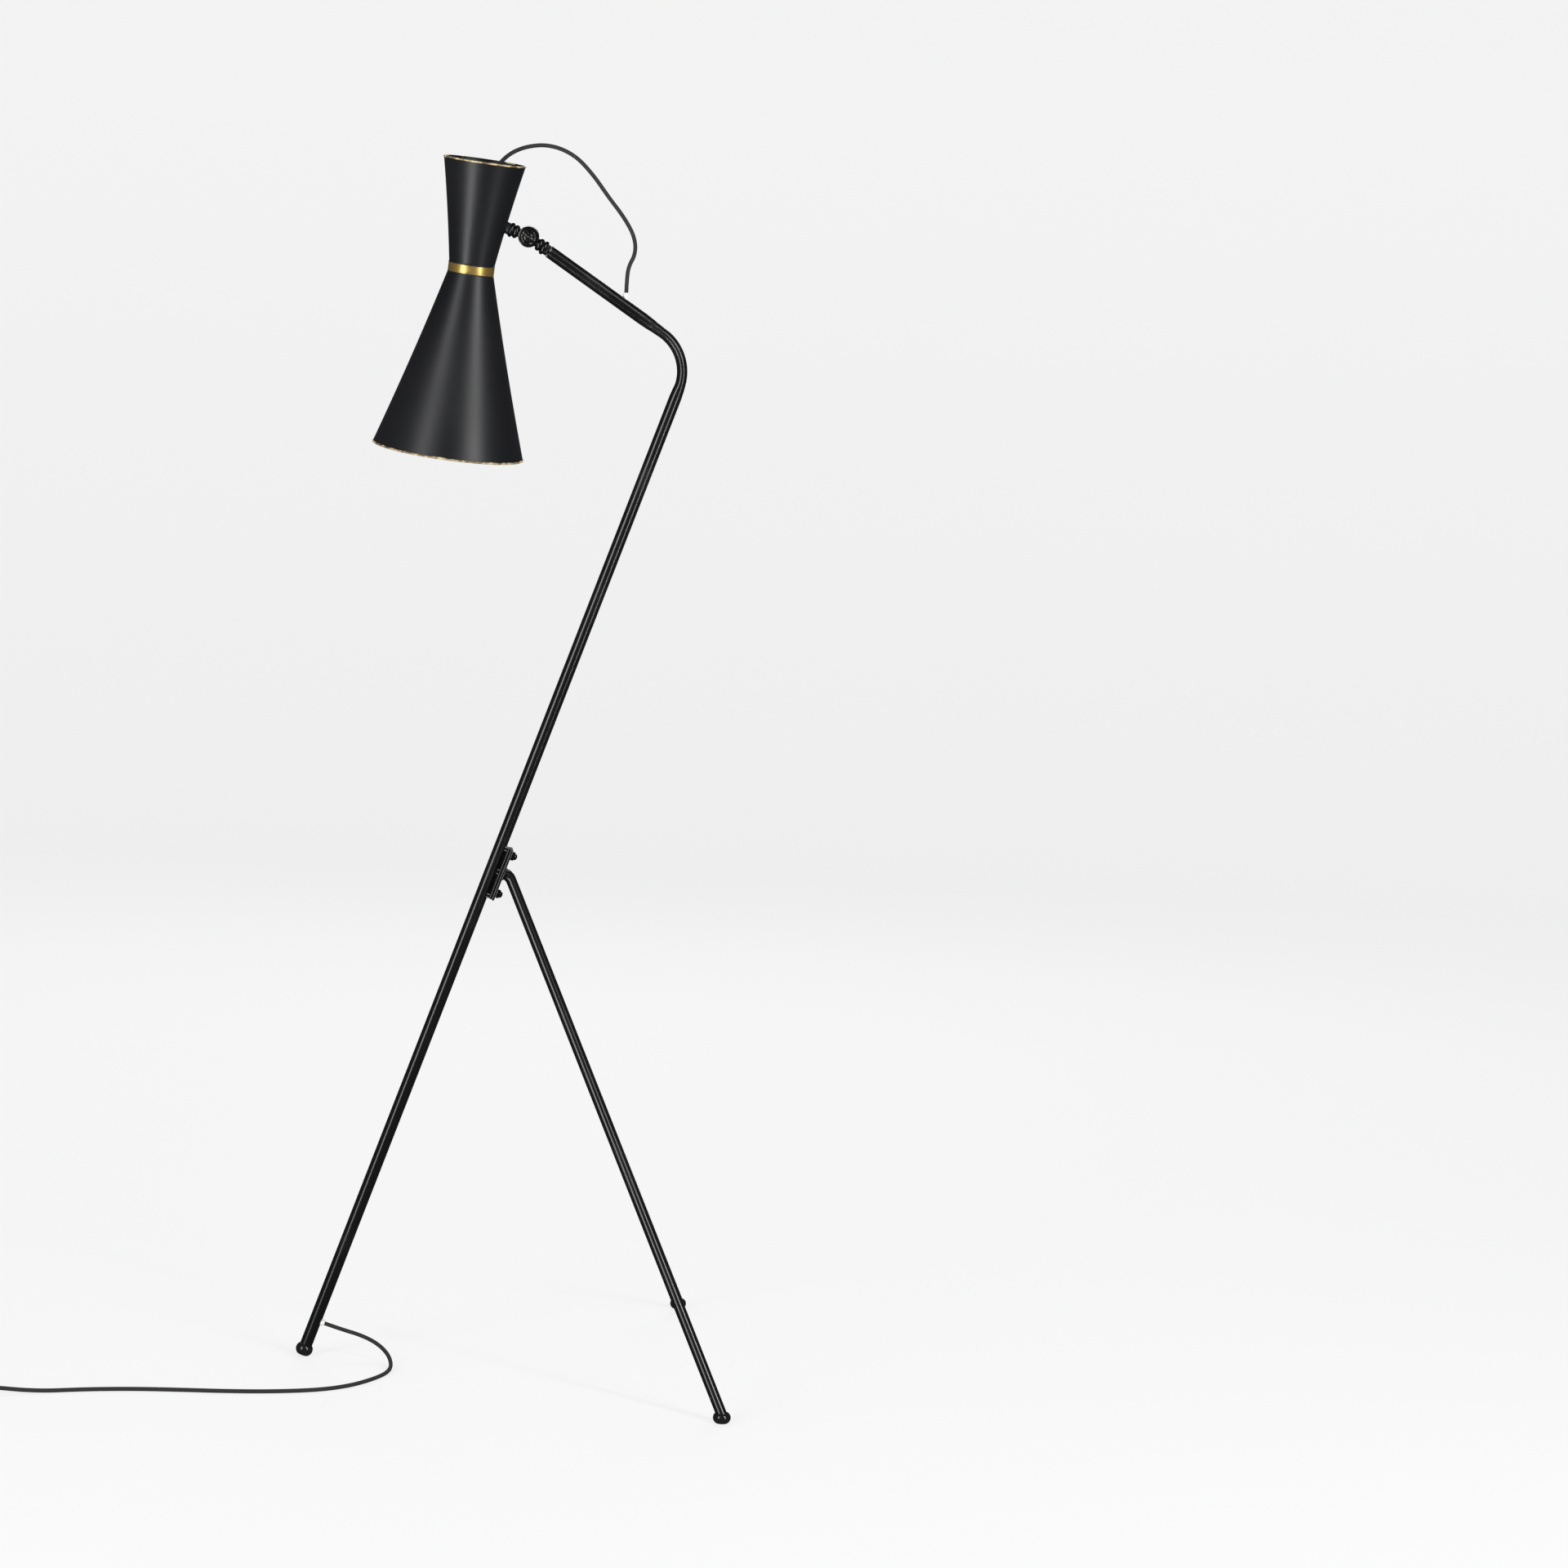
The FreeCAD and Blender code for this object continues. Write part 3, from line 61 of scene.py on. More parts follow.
# ---- cord routes, in metres
HEAD_CORD_ROUTE = (
    (0.10357, 0, 1.39374), (0.10357, 0, 1.410), (0.1050, 0, 1.427), (0.1135, 0, 1.444),
    (0.1115, 0, 1.465), (0.097, 0, 1.489), (0.076, 0, 1.5135), (0.055, 0, 1.541),
    (0.030, -0.001, 1.565), (-0.002, -0.002, 1.5758), (-0.034, -0.004, 1.5712),
    (-0.058, -0.006, 1.5575), (-0.074, -0.006, 1.534), (-0.0835, -0.0025, 1.506),
    (-0.0885, 0.0015, 1.476), (-0.0928, 0.0069, 1.4438), (-0.0953, 0.0106, 1.4142),
)
MAINS_LEAD_ROUTE = (
    (-0.23157, 0, 0.04287), (-0.2105, 0, 0.03564), (-0.186, -0.003, 0.0295),
    (-0.164, -0.014, 0.0215), (-0.1495, -0.034, 0.012), (-0.1455, -0.062, 0.0046),
    (-0.151, -0.090, 0.0027), (-0.1665, -0.119, 0.0027), (-0.191, -0.150, 0.0027),
    (-0.219, -0.1715, 0.0027), (-0.253, -0.1845, 0.0027), (-0.301, -0.192, 0.0027),
    (-0.355, -0.193, 0.0027), (-0.410, -0.1895, 0.0027), (-0.468, -0.188, 0.0027),
    (-0.526, -0.1935, 0.0027), (-0.585, -0.2065, 0.0027), (-0.645, -0.211, 0.009),
    (-0.705, -0.211, 0.009), (-0.747, -0.211, 0.009), (-0.796, -0.211, 0.009),
)
PLUG_LEAD_ROUTE = (
    (-0.812, -0.1406, 0.0034), (-0.770, -0.141, 0.007), (-0.728, -0.141, 0.007),
)
COIL_CENTRE = Vector((-0.845, -0.176, 0))
COIL_OUTER_TURN = 0.0352
COIL_INNER_TURN = 0.0229
COIL_TOP_Z = 0.0089
COIL_LOW_Z = 0.00345
COIL_LAYER_TURNS = 2.35
COIL_CLIMB_TURNS = 0.8
COIL_POINTS_PER_TURN = 16

# ---- stem, arm and knuckle
STEM_FOOT_X = -261.3
STEM_LEAN = 18.95
STEM_LENGTH = 1395.4
ARM_DROP = 32.7
ARM_LENGTH = 256.5
ARM_START = 31.5
BEND_RADIUS = 60.0
BEND_FLAT = 13.4
UPPER_COLLAR_ALONG = 151.6
LOWER_COLLAR_ALONG = 50.2
STEM_RECOVERY = 12.0
ARM_RECOVERY = 32.0
HEAD_TILT = 5.14
HEAD_ROLL = 8.03
KNUCKLE_OUT = 67.2
KNUCKLE_UP = 50.6
CHEEK_R = 13.4
CHEEK_T = 6.4
CHEEK_GAP = 1.2
FACE_GAP = 0.3
NECK_RISE = 4.0
NECK_R = 5.76
SCREW_R = 3.0
BEAD_START = 13.9
SLOT_TURN = 60.0
SLOT_LEAN = 30.0
SLOT_WIDTH = 2.4
SLOT_LENGTH = 22.0
SLOT_DEPTH = 4.2
CREST_HEIGHT = -0.7

# ---- legs, clamp and feet
LEG_ROOT = 683.0
LEG_ROOT_Y = 8.0
LEG_NECK = 8.0
LEG_BEND_RADIUS = 15.0
LEG_FOOT_X = 260.16
LEG_FOOT_Y = 301.73
LEG_END_Z = 5.5
LEG_END_OUT = 5.0
CLAMP_CENTRE = 681.7
CLAMP_LENGTH = 71.0
CLAMP_FACE = 10.6
PLATE_T = 3.0
BOLT_SPACING = 52.4
FOOT_R = 11.1
FOOT_SOLE_R = 7.2
FOOT_TOP_R = 8.2
FOOT_HEIGHT = 12.6
STEM_FOOT_HEIGHT = 14.0
FOOT_SOLE = 4.0

# ---- shade
SHADE_TOP = 136.6
SHADE_BOTTOM = -234.8
RING_HALF = 6.8
NECK_WALL_R = 28.8
SHEET = 1.0

# ---- camera: place in metres, turns in radians
CAMERA_PLACE = (-0.24053, -4.63347, 1.18188)
CAMERA_YAW = 0.12389
CAMERA_PITCH = 0.08806
CAMERA_ROLL = 0.0465

# ---- backdrop
FLOOR_RING = 3000.0
FLAT_FLOOR = 6500.0
COVE_R = 2500.0
BACKDROP_HEIGHT = 9000.0


def polar(angle):
    return Vector((math.cos(math.radians(angle)), 0, math.sin(math.radians(angle))))


STEM_DIR = polar(90 - STEM_LEAN)
STEM_OUT = polar(-STEM_LEAN)
ARM_DIR = polar(-ARM_DROP)
STEM_BASE = Vector((STEM_FOOT_X, 0, 0))
CORNER = STEM_BASE + STEM_DIR * STEM_LENGTH
KNUCKLE = CORNER - ARM_DIR * ARM_LENGTH
BEND_TURN = STEM_DIR.angle(-ARM_DIR)
BEND_TRIM = BEND_RADIUS * math.tan(BEND_TURN / 2)


def on_stem(along, out=0.0, across=0.0):
    """Point by its distance along the stem, out from its underside and across."""
    return STEM_BASE + STEM_DIR * along + STEM_OUT * out + ACROSS * across


def place_at(origin, along, side):
    """Matrix that lays +Z along a direction and +X towards a side."""
    z_axis = along.normalized()
    y_axis = z_axis.cross(side).normalized()
    x_axis = y_axis.cross(z_axis)
    turn = Matrix((x_axis, y_axis, z_axis)).transposed().to_4x4()
    return Matrix.Translation(origin) @ turn


def about_knuckle(turn):
    return Matrix.Translation(KNUCKLE) @ turn @ Matrix.Translation(-KNUCKLE)


ROLL = Matrix.Rotation(math.radians(HEAD_ROLL), 4, ARM_DIR)
TILT = Matrix.Rotation(math.radians(HEAD_TILT), 4, ACROSS)
ROLLED = about_knuckle(ROLL)
IN_HEAD = Matrix.Translation(KNUCKLE) @ ROLL @ TILT @ Matrix.Translation((-KNUCKLE_OUT, 0, -KNUCKLE_UP))


# ---- sizes, finishes and light that a user may change

def length_setting(name, description, default):
    return bpy.props.FloatProperty(name=name, description=description, default=default, unit="LENGTH")


def colour_setting(name, description, default):
    return bpy.props.FloatVectorProperty(
        name=name, description=description, default=default, subtype="COLOR")


def light_setting(name, description, default, unit="NONE"):
    return bpy.props.FloatProperty(name=name, description=description, default=default, unit=unit)


class LampSizes(bpy.types.PropertyGroup):
    stem_diameter: length_setting("Stem", "Outside of the stem's tube", 0.016)
    arm_diameter: length_setting("Arm", "Outside of the arm past the bend", 0.0166)
    leg_diameter: length_setting("Legs", "Outside of the two legs", 0.0136)
    cord_diameter: length_setting("Cord", "Outside of the round cord", 0.0052)
    shade_top_radius: length_setting("Top rim", "Radius of the shade's upper rim", 0.0522)
    shade_bottom_radius: length_setting("Bottom rim", "Radius of the shade's lower rim", 0.0972)
    rim_bead: length_setting("Rim bead", "Radius of the rolled rims", 0.0011)


class LampFinishes(bpy.types.PropertyGroup):
    enamel: colour_setting("Enamel", "Gloss enamel on stem and legs", (0.0042, 0.0042, 0.0046))
    shade_paint: colour_setting("Shade paint", "Satin paint on the shade", (0.005, 0.0054, 0.0068))
    ring_brass: colour_setting("Neck brass", "Patinated brass of the band at the neck", (0.74, 0.5, 0.135))
    cord_black: colour_setting("Cord", "Sheath of the cord", (0.0032, 0.0032, 0.0036))
    nylon: colour_setting("Collars", "Collars where the cord leaves the tube", (0.13, 0.13, 0.122))


class LampStage(bpy.types.PropertyGroup):
    key_power: light_setting("Key", "Power of the large soft lamp", 42.0, "POWER")
    strip_power: light_setting("Strips", "Power that both tall lamps share out", 46.0, "POWER")
    room_light: light_setting("Room", "Strength of the even light of the room", 0.04)
    backdrop_glow: light_setting("Glow", "Even light that the backdrop gives off", 0.73)
    lens: light_setting("Lens", "Focal length in millimetres", 82.5)


def sizes():
    return bpy.context.scene.lamp_sizes


def finishes():
    return bpy.context.scene.lamp_finishes


def stage_settings():
    return bpy.context.scene.lamp_stage


# ---- node trees

class Value:
    """A socket in a node tree; arithmetic on it adds Math nodes."""

    def __init__(self, graph, socket):
        self.graph = graph
        self.socket = socket

    def maths(self, operation, *values):
        settings = {"operation": operation}
        return self.graph.add("ShaderNodeMath", settings, dict(enumerate(values)))

    def __add__(self, other):
        return self.maths("ADD", self, other)

    def __radd__(self, other):
        return self.maths("ADD", other, self)

    def __sub__(self, other):
        return self.maths("SUBTRACT", self, other)

    def __rsub__(self, other):
        return self.maths("SUBTRACT", other, self)

    def __mul__(self, other):
        return self.maths("MULTIPLY", self, other)

    def clamp(self):
        return self.graph.add("ShaderNodeClamp", {}, {"Value": self})

    def step(self, low, high):
        """0 below low, 1 above high, smooth between."""
        values = {"Value": self, "From Min": low, "From Max": high}
        return self.graph.add("ShaderNodeMapRange", {"interpolation_type": "SMOOTHSTEP"}, values)


class Graph:
    """Adds nodes to a tree."""

    def __init__(self, tree):
        self.tree = tree

    def add(self, kind, settings=None, values=None, output=0):
        """Adds a node: its settings first, then its sockets' values or links."""
        node = self.tree.nodes.new(kind)
        for name, setting in (settings or {}).items():
            if name == "stops":
                self.set_stops(node.color_ramp, setting)
            else:
                setattr(node, name, setting)
        for key, value in (values or {}).items():
            if isinstance(value, Value):
                self.tree.links.new(value.socket, node.inputs[key])
            else:
                node.inputs[key].default_value = value
        return Value(self, node.outputs[output])

    def set_stops(self, ramp, stops):
        while len(ramp.elements) < len(stops):
            ramp.elements.new(1.0)
        for element, (position, colour) in zip(ramp.elements, stops):
            element.position = position
            element.color = (*colour, 1)

    def noise(self, vector, scale, detail=2.0, roughness=0.5):
        values = {"Vector": vector, "Scale": scale, "Detail": detail, "Roughness": roughness}
        return self.add("ShaderNodeTexNoise", {}, values, "Fac")

    def blend(self, mask, first, second):
        """Mix of two colours."""
        values = {0: mask, 6: as_colour(first), 7: as_colour(second)}
        return self.add("ShaderNodeMix", {"data_type": "RGBA"}, values, 2)

    def join(self, start, end):
        self.tree.links.new(start.socket, end)


def as_colour(value):
    return value if isinstance(value, Value) else (*tuple(value)[:3], 1.0)


# ---- finishes

def bare_material(name, colour, roughness, metallic=0.0, **constants):
    """Material whose shader holds only constants."""
    material = bpy.data.materials.new(name)
    material.use_nodes = True
    shader = material.node_tree.nodes["Principled BSDF"]
    shader.inputs["Base Color"].default_value = as_colour(colour)
    shader.inputs["Roughness"].default_value = roughness
    shader.inputs["Metallic"].default_value = metallic
    for name, value in constants.items():
        shader.inputs[name.replace("_", " ").title().replace("Ior", "IOR")].default_value = value
    material.diffuse_color = as_colour(colour)
    return material


class Finish(Graph):
    """A material's tree, with its shader and the object's own coordinates."""

    def __init__(self, name, colour, roughness, metallic=0.0, **constants):
        super().__init__(bare_material(name, colour, roughness, metallic, **constants).node_tree)
        self.shader = self.tree.nodes["Principled BSDF"]
        self.place = self.add("ShaderNodeTexCoord", {}, {}, "Object")

    def wear(self):
        return self.add("ShaderNodeAttribute", {"attribute_name": "wear"}, {}, "Fac")

    def grain(self, *settings):
        return self.noise(self.place, *settings)

    def stretched(self, scale, turn=(0, 0, 0)):
        return self.add("ShaderNodeMapping", {}, {"Vector": self.place, "Scale": scale, "Rotation": turn})

    def give(self, name, value):
        self.join(value, self.shader.inputs[name])

    def bump(self, height, strength, distance):
        values = {"Strength": strength, "Distance": distance, "Height": height}
        self.give("Normal", self.add("ShaderNodeBump", {}, values, "Normal"))


def enamel_material():
    """Gloss black enamel: slight waviness, dust specks and small chips to pale primer."""
    colour = finishes().enamel
    coat = Finish("tube_enamel", colour, 0.22, specular_ior_level=0.6)
    worn = (coat.wear() * 1.25 + (coat.grain(210.0, 3.0) - 0.5) * 1.3).step(0.56, 0.72)
    chips = coat.grain(80.0, 1.0).step(0.815, 0.825)
    rubbed = coat.grain(16.0, 4.0).step(0.5, 0.75)
    marks = (worn + chips).clamp()
    paint = coat.blend(rubbed * 0.6, colour, (0.0095, 0.0095, 0.01))
    coat.give("Base Color", coat.blend(marks, paint, (0.15, 0.15, 0.148)))
    coat.give("Roughness", 0.21 + rubbed * 0.09 + marks * 0.25)
    coat.bump(coat.grain(60.0, 1.0), 0.03, 0.0004)


def shade_material():
    """Satin black on spun metal: fine grain, hair scratches and rims rubbed to brass, the rim bead's front
    half brighter as a painted highlight.
    """
    colour = finishes().shade_paint
    coat = Finish("shade_satin", colour, 0.4, specular_ior_level=0.45)
    patches = coat.grain(75.0, 5.0, 0.65)
    # The wear mask holds real rim wear and, on the bead's front half, a painted highlight.
    worn = (coat.wear() + (patches - 0.5) * 1.5).step(0.42, 0.58)
    fine = coat.noise(coat.stretched((900, 900, 60)), 1.0, 3.0)
    scratch = coat.noise(coat.stretched((14, 14, 260), (0.3, 0.9, 0.2)), 2.0, 2.0)
    scratches = scratch.step(0.77, 0.79) * coat.grain(9.0, 2.0).step(0.5, 0.62)
    smudge = coat.grain(6.0, 4.0)
    paint = coat.blend(smudge.step(0.35, 0.75) * 0.5, colour, (0.0105, 0.0108, 0.0125))
    paint = coat.blend(scratches * 0.45, paint, (0.3, 0.3, 0.3))
    brass = coat.blend(patches.step(0.4, 0.65), (0.2, 0.14, 0.07), (0.86, 0.7, 0.4))
    coat.give("Base Color", coat.blend(worn, paint, brass))
    coat.give("Metallic", worn * 0.55)
    coat.give("Roughness", 0.34 + smudge * 0.12 + worn * 0.06)
    coat.bump(fine, 0.06, 0.0002)


def ring_material():
    """Brass band with dark patina, black paint left along its lips."""
    colour = finishes().ring_brass
    coat = Finish("neck_brass", colour, 0.34, 0.9)
    cloud = coat.grain(55.0, 5.0, 0.6)
    speck = coat.grain(330.0, 2.0)
    tarnish = cloud.step(0.38, 0.72)
    dark = (coat.wear() * 1.4 + (cloud - 0.5) * 1.1 + (speck - 0.5) * 0.6).step(0.55, 0.72)
    metal = coat.blend(tarnish * 0.75, colour, (0.13, 0.1, 0.06))
    metal = coat.blend(speck.step(0.66, 0.72) * 0.6, metal, (0.05, 0.04, 0.03))
    coat.give("Base Color", coat.blend(dark, metal, (0.014, 0.013, 0.013)))
    coat.give("Metallic", (1 - dark) * 0.9)
    coat.give("Roughness", 0.3 + tarnish * 0.2 + dark * 0.08)
    coat.bump(speck, 0.12, 0.0002)


def fitting_material():
    """Gloss black on turned metal, its edges rubbed bright; on the knuckle screw's ring crests the
    brightness is a painted highlight, and in its slot partly so.
    """
    black = (0.004, 0.004, 0.0045)
    coat = Finish("fitting_gloss", black, 0.16, specular_ior_level=0.6)
    grain = coat.grain(420.0, 4.0, 0.6)
    worn = (coat.wear() + (grain - 0.5) * 1.1).step(0.5, 0.66)
    coat.give("Base Color", coat.blend(worn, black, (0.3, 0.29, 0.26)))
    coat.give("Metallic", worn * 0.3)
    coat.give("Roughness", 0.12 + grain * 0.08 + worn * 0.16)


def uneven_material(name, colour, roughness, swing, scale, detail, metallic=0.0, **constants):
    """Finish whose roughness wanders over a swing about its middle value."""
    coat = Finish(name, colour, roughness, metallic, **constants)
    grain = coat.grain(scale, detail)
    coat.give("Roughness", roughness - swing / 2 + grain * swing)
    return coat, grain


METALS = (
    ("plain_steel", (0.5, 0.5, 0.51), 0.34), ("turned_brass", (0.6, 0.45, 0.22), 0.3),
    ("plated_pins", (0.68, 0.67, 0.64), 0.18), ("bulb_cap_metal", (0.62, 0.62, 0.61), 0.3),
)
PLAIN_FINISHES = (
    ("holder_bakelite", (0.018, 0.011, 0.009), 0.25), ("holder_porcelain", (0.78, 0.77, 0.72), 0.2),
    ("fibre_washer", (0.16, 0.045, 0.022), 0.55), ("switch_black", (0.016, 0.016, 0.017), 0.33),
    ("rocker_black", (0.02, 0.02, 0.021), 0.2), ("plug_black", (0.014, 0.014, 0.0145), 0.42),
    ("tie_black", (0.02, 0.02, 0.02), 0.45),
)


def make_materials():
    enamel_material()
    shade_material()
    ring_material()
    fitting_material()
    uneven_material("cord_sheath", finishes().cord_black, 0.5, 0.16, 40.0, 3.0, specular_ior_level=0.25)
    uneven_material("drum_grey", (0.032, 0.032, 0.034), 0.4, 0.2, 240.0, 4.0, 0.5)
    for name, roughness in (("foot_gloss", 0.14), ("boot_matt", 0.5)):
        coat, grain = uneven_material(name, (0.009, 0.009, 0.0095), roughness, roughness * 0.6, 130.0, 4.0)
        coat.bump(grain, 0.05, 0.0003)
    for name, colour, roughness in METALS:
        uneven_material(name, colour, roughness, roughness * 0.5, 300.0, 3.0, 1.0)
    for name, colour, roughness in PLAIN_FINISHES:
        bare_material(name, colour, roughness)
    bare_material("collar_nylon", finishes().nylon, 0.42, subsurface_weight=0.25, subsurface_scale=0.004)
    bare_material("opal_glass", (0.86, 0.85, 0.81), 0.22, coat_weight=0.3)


def material(name):
    return bpy.data.materials[name]


# ---- meshes

def link(name, data):
    thing = bpy.data.objects.new(name, data)
    bpy.context.scene.collection.objects.link(thing)
    return thing


def evaluated_mesh(thing):
    """New mesh of an object as its modifiers and curve settings make it."""
    graph = bpy.context.evaluated_depsgraph_get()
    return bpy.data.meshes.new_from_object(thing.evaluated_get(graph))


def shade_by_angle(mesh, sharp_angle, merge=0.0, outwards=False):
    """Merges doubles and turns faces outwards if asked, and shades smooth between soft edges."""
    shape = bmesh.new()
    shape.from_mesh(mesh)
    if merge > 0:
        bmesh.ops.remove_doubles(shape, verts=shape.verts, dist=merge)
    if outwards:
        loose = [v for v in shape.verts if not v.link_faces]
        bmesh.ops.delete(shape, geom=loose, context="VERTS")
        bmesh.ops.recalc_face_normals(shape, faces=shape.faces)
    limit = math.radians(sharp_angle)
    for face in shape.faces:
        face.smooth = True
    for edge in shape.edges:
        edge.smooth = edge.is_manifold and edge.calc_face_angle(0.0) < limit
    shape.to_mesh(mesh)
    shape.free()


def finish_mesh(mesh, sharp_angle=32.0):
    shade_by_angle(mesh, sharp_angle, 1e-6, True)


def face_wear(mesh):
    """Empty wear mask, held by faces in place of the one held by points."""
    mesh.attributes.remove(mesh.attributes["wear"])
    return mesh.attributes.new("wear", "FLOAT", "FACE")


def new_piece(name, parts, material_name, sharp_angle=32.0):
    """One object from (points in metres, faces, wear of each point) parts."""
    points = []
    faces = []
    wear = []
    for part_points, part_faces, part_wear in parts:
        first = len(points)
        points.extend(part_points)
        faces.extend([[first + k for k in face] for face in part_faces])
        wear.extend(part_wear)
    mesh = bpy.data.meshes.new(name)
    mesh.from_pydata(points, [], faces)
    layer = mesh.attributes.new("wear", "FLOAT", "POINT")
    layer.data.foreach_set("value", wear)
    finish_mesh(mesh, sharp_angle)
    mesh.materials.append(material(material_name))
    return link(name, mesh)


def ring_of(centre, first, second, steps):
    """Points round an oval with two half-axes."""
    turn = 2 * math.pi / steps
    return [centre + first * math.cos(k * turn) + second * math.sin(k * turn) for k in range(steps)]


def skinned(rings, wear=None, close_ends=True):
    """Faces between rings of equal count; a one-point ring is a pole."""
    points = []
    faces = []
    starts = []
    marks = []
    for index, ring in enumerate(rings):
        starts.append(len(points))
        points.extend(ring)
        marks.extend([wear[index] if wear else 0.0] * len(ring))
    for index in range(len(rings) - 1):
        low = starts[index]
        high = starts[index + 1]
        low_count = len(rings[index])
        high_count = len(rings[index + 1])
        for k in range(max(low_count, high_count)):
            after = k + 1
            corners = [low + k % low_count, low + after % low_count,
                       high + after % high_count, high + k % high_count]
            face = sorted(set(corners), key=corners.index)
            if len(face) > 2:
                faces.append(face)
    for index in ((0, -1) if close_ends else ()):
        if len(rings[index]) > 2:
            faces.append([starts[index] + k for k in range(len(rings[index]))])
    return points, faces, marks


def lathe(outline, place, steps=96):
    """Turned part: outline points are (radius, height) or (radius, height, wear)."""
    rings = []
    wear = []
    for radius, height, *mark in outline:
        if radius < 1e-6:
            rings.append([(place @ Vector((0, 0, height))) * MM])
        else:
            level = Vector((0, 0, height))
            points = ring_of(level, Vector((radius, 0, 0)), Vector((0, radius, 0)), steps)
            rings.append([(place @ point) * MM for point in points])
        wear.append(mark[0] if mark else 0.0)
    return skinned(rings, wear, close_ends=False)


def arc_through(start, middle, end, count=8, wear=0.0):
    """Points of the arc through three outline points, both ends included."""
    (ax, ay), (bx, by), (cx, cy) = start, middle, end
    d = 2 * (ax * (by - cy) + bx * (cy - ay) + cx * (ay - by))
    a2 = ax * ax + ay * ay
    b2 = bx * bx + by * by
    c2 = cx * cx + cy * cy
    x = (a2 * (by - cy) + b2 * (cy - ay) + c2 * (ay - by)) / d
    y = (a2 * (cx - bx) + b2 * (ax - cx) + c2 * (bx - ax)) / d
    radius = math.hypot(ax - x, ay - y)
    first = math.atan2(ay - y, ax - x)
    half = wrapped(math.atan2(by - y, bx - x) - first)
    rest = wrapped(math.atan2(cy - y, cx - x) - first - half)
    turn = half + rest
    angles = [first + turn * k / count for k in range(count + 1)]
    top = [math.sin(math.pi * k / count) ** 4 * wear for k in range(count + 1)]
    return [(x + radius * math.cos(a), y + radius * math.sin(a), w) for a, w in zip(angles, top)]


def wrapped(angle):
    return (angle + math.pi) % (2 * math.pi) - math.pi


def rounded(outline, radius):
    """Outline with each inner corner cut back by a small chamfer."""
    result = [outline[0]]
    for before, corner, after in zip(outline, outline[1:], outline[2:]):
        here = Vector(corner)
        to_before = Vector(before) - here
        to_after = Vector(after) - here
        first = here + to_before.normalized() * min(radius, to_before.length * 0.4)
        last = here + to_after.normalized() * min(radius, to_after.length * 0.4)
        result.extend([tuple(first), tuple((first + last + here) / 3), tuple(last)])
    result.append(outline[-1])
    return result


def bar(points, radius, side):
    """Round bar along points in millimetres that lie square to a side vector."""
    rings = []
    for index, point in enumerate(points):
        before = points[max(index - 1, 0)]
        after = points[min(index + 1, len(points) - 1)]
        high = (after - before).normalized().cross(side).normalized()
        rings.append([p * MM for p in ring_of(point, side.normalized() * radius, high * radius, 40)])
    return skinned(rings)


def plate(length, width, bottom, top, corner, place, bevel=0.5):
    """Flat plate with rounded corners and small bevels."""
    steps = 6
    rings = []
    for height, inset in ((bottom, bevel), (bottom + bevel, 0), (top - bevel, 0), (top, bevel)):
        ring = []
        for k, (sx, sy) in enumerate(((1, 1), (-1, 1), (-1, -1), (1, -1))):
            for step in range(steps + 1):
                angle = math.pi / 2 * (k + step / steps)
                x = sx * (length / 2 - corner) + (corner - inset) * math.cos(angle)
                y = sy * (width / 2 - corner) + (corner - inset) * math.sin(angle)
                ring.append((place @ Vector((x, y, height))) * MM)
        rings.append(ring)
    return skinned(rings)


def hexagon(flats, bottom, top, place):
    """Hexagonal nut with chamfered corners."""
    chamfer = 0.45
    radius = flats / math.sqrt(3)
    rings = []
    for height, reach in ((bottom, radius - chamfer), (bottom + chamfer * 0.6, radius),
                          (top - chamfer * 0.6, radius), (top, radius - chamfer)):
        centre = Vector((0, 0, height))
        ring = ring_of(centre, Vector((reach, 0, 0)), Vector((0, reach, 0)), 6)
        rings.append([(place @ point) * MM for point in ring])
    return skinned(rings)


def settled(thing, body, slot, *nodes):
    """Hangs a piece on its body and hides the parts it stands for; the finish slot is not used."""
    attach(thing, body)
    if nodes:
        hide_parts(*nodes)
    return thing


def edges_worn(thing, widest):
    """Marks narrow faces, the bevels, as worn and the rest as not."""
    mesh = thing.data
    layer = face_wear(mesh)
    for face in mesh.polygons:
        spans = [mesh.vertices[a].co - mesh.vertices[b].co for a, b in face.edge_keys]
        shortest = min(span.length for span in spans)
        layer.data[face.index].value = 1.0 if shortest < widest * MM and face.area < 1e-4 else 0.0


def smooth_copy(node, name, body, material_name, slot):
    """Merged and smoothly shaded copy of a solid whose shape is right as it is."""
    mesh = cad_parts[node].data.copy()
    mesh.name = name
    shade_by_angle(mesh, 30.0, 2e-6)
    if "custom_normal" in mesh.attributes:
        mesh.attributes.remove(mesh.attributes["custom_normal"])
    mesh.materials.clear()
    mesh.materials.append(material(material_name))
    return settled(link(name, mesh), body, slot, node)


def copies(rows):
    return [smooth_copy(*row) for row in rows]


# ---- geometry node trees

def tree_with(name, inputs):
    """Empty geometry tree with named inputs."""
    tree = bpy.data.node_groups.new(name, "GeometryNodeTree")
    tree.interface.new_socket("Geometry", in_out="INPUT", socket_type="NodeSocketGeometry")
    for label, kind, default in inputs:
        socket = tree.interface.new_socket(label, in_out="INPUT", socket_type=kind)
        if default is not None:
            socket.default_value = default
    tree.interface.new_socket("Geometry", in_out="OUTPUT", socket_type="NodeSocketGeometry")
    given = tree.nodes.new("NodeGroupInput")
    graph = Graph(tree)
    return tree, graph, {socket.name: Value(graph, socket) for socket in given.outputs if socket.name}


def close_tree(tree, graph, geometry, material_socket):
    """Realises instances, sets the material and joins the tree's output."""
    real = graph.add("GeometryNodeRealizeInstances", {}, {"Geometry": geometry})
    painted = graph.add("GeometryNodeSetMaterial", {}, {"Geometry": real, "Material": material_socket})
    result = tree.nodes.new("NodeGroupOutput")
    graph.join(painted, result.inputs["Geometry"])
    return tree


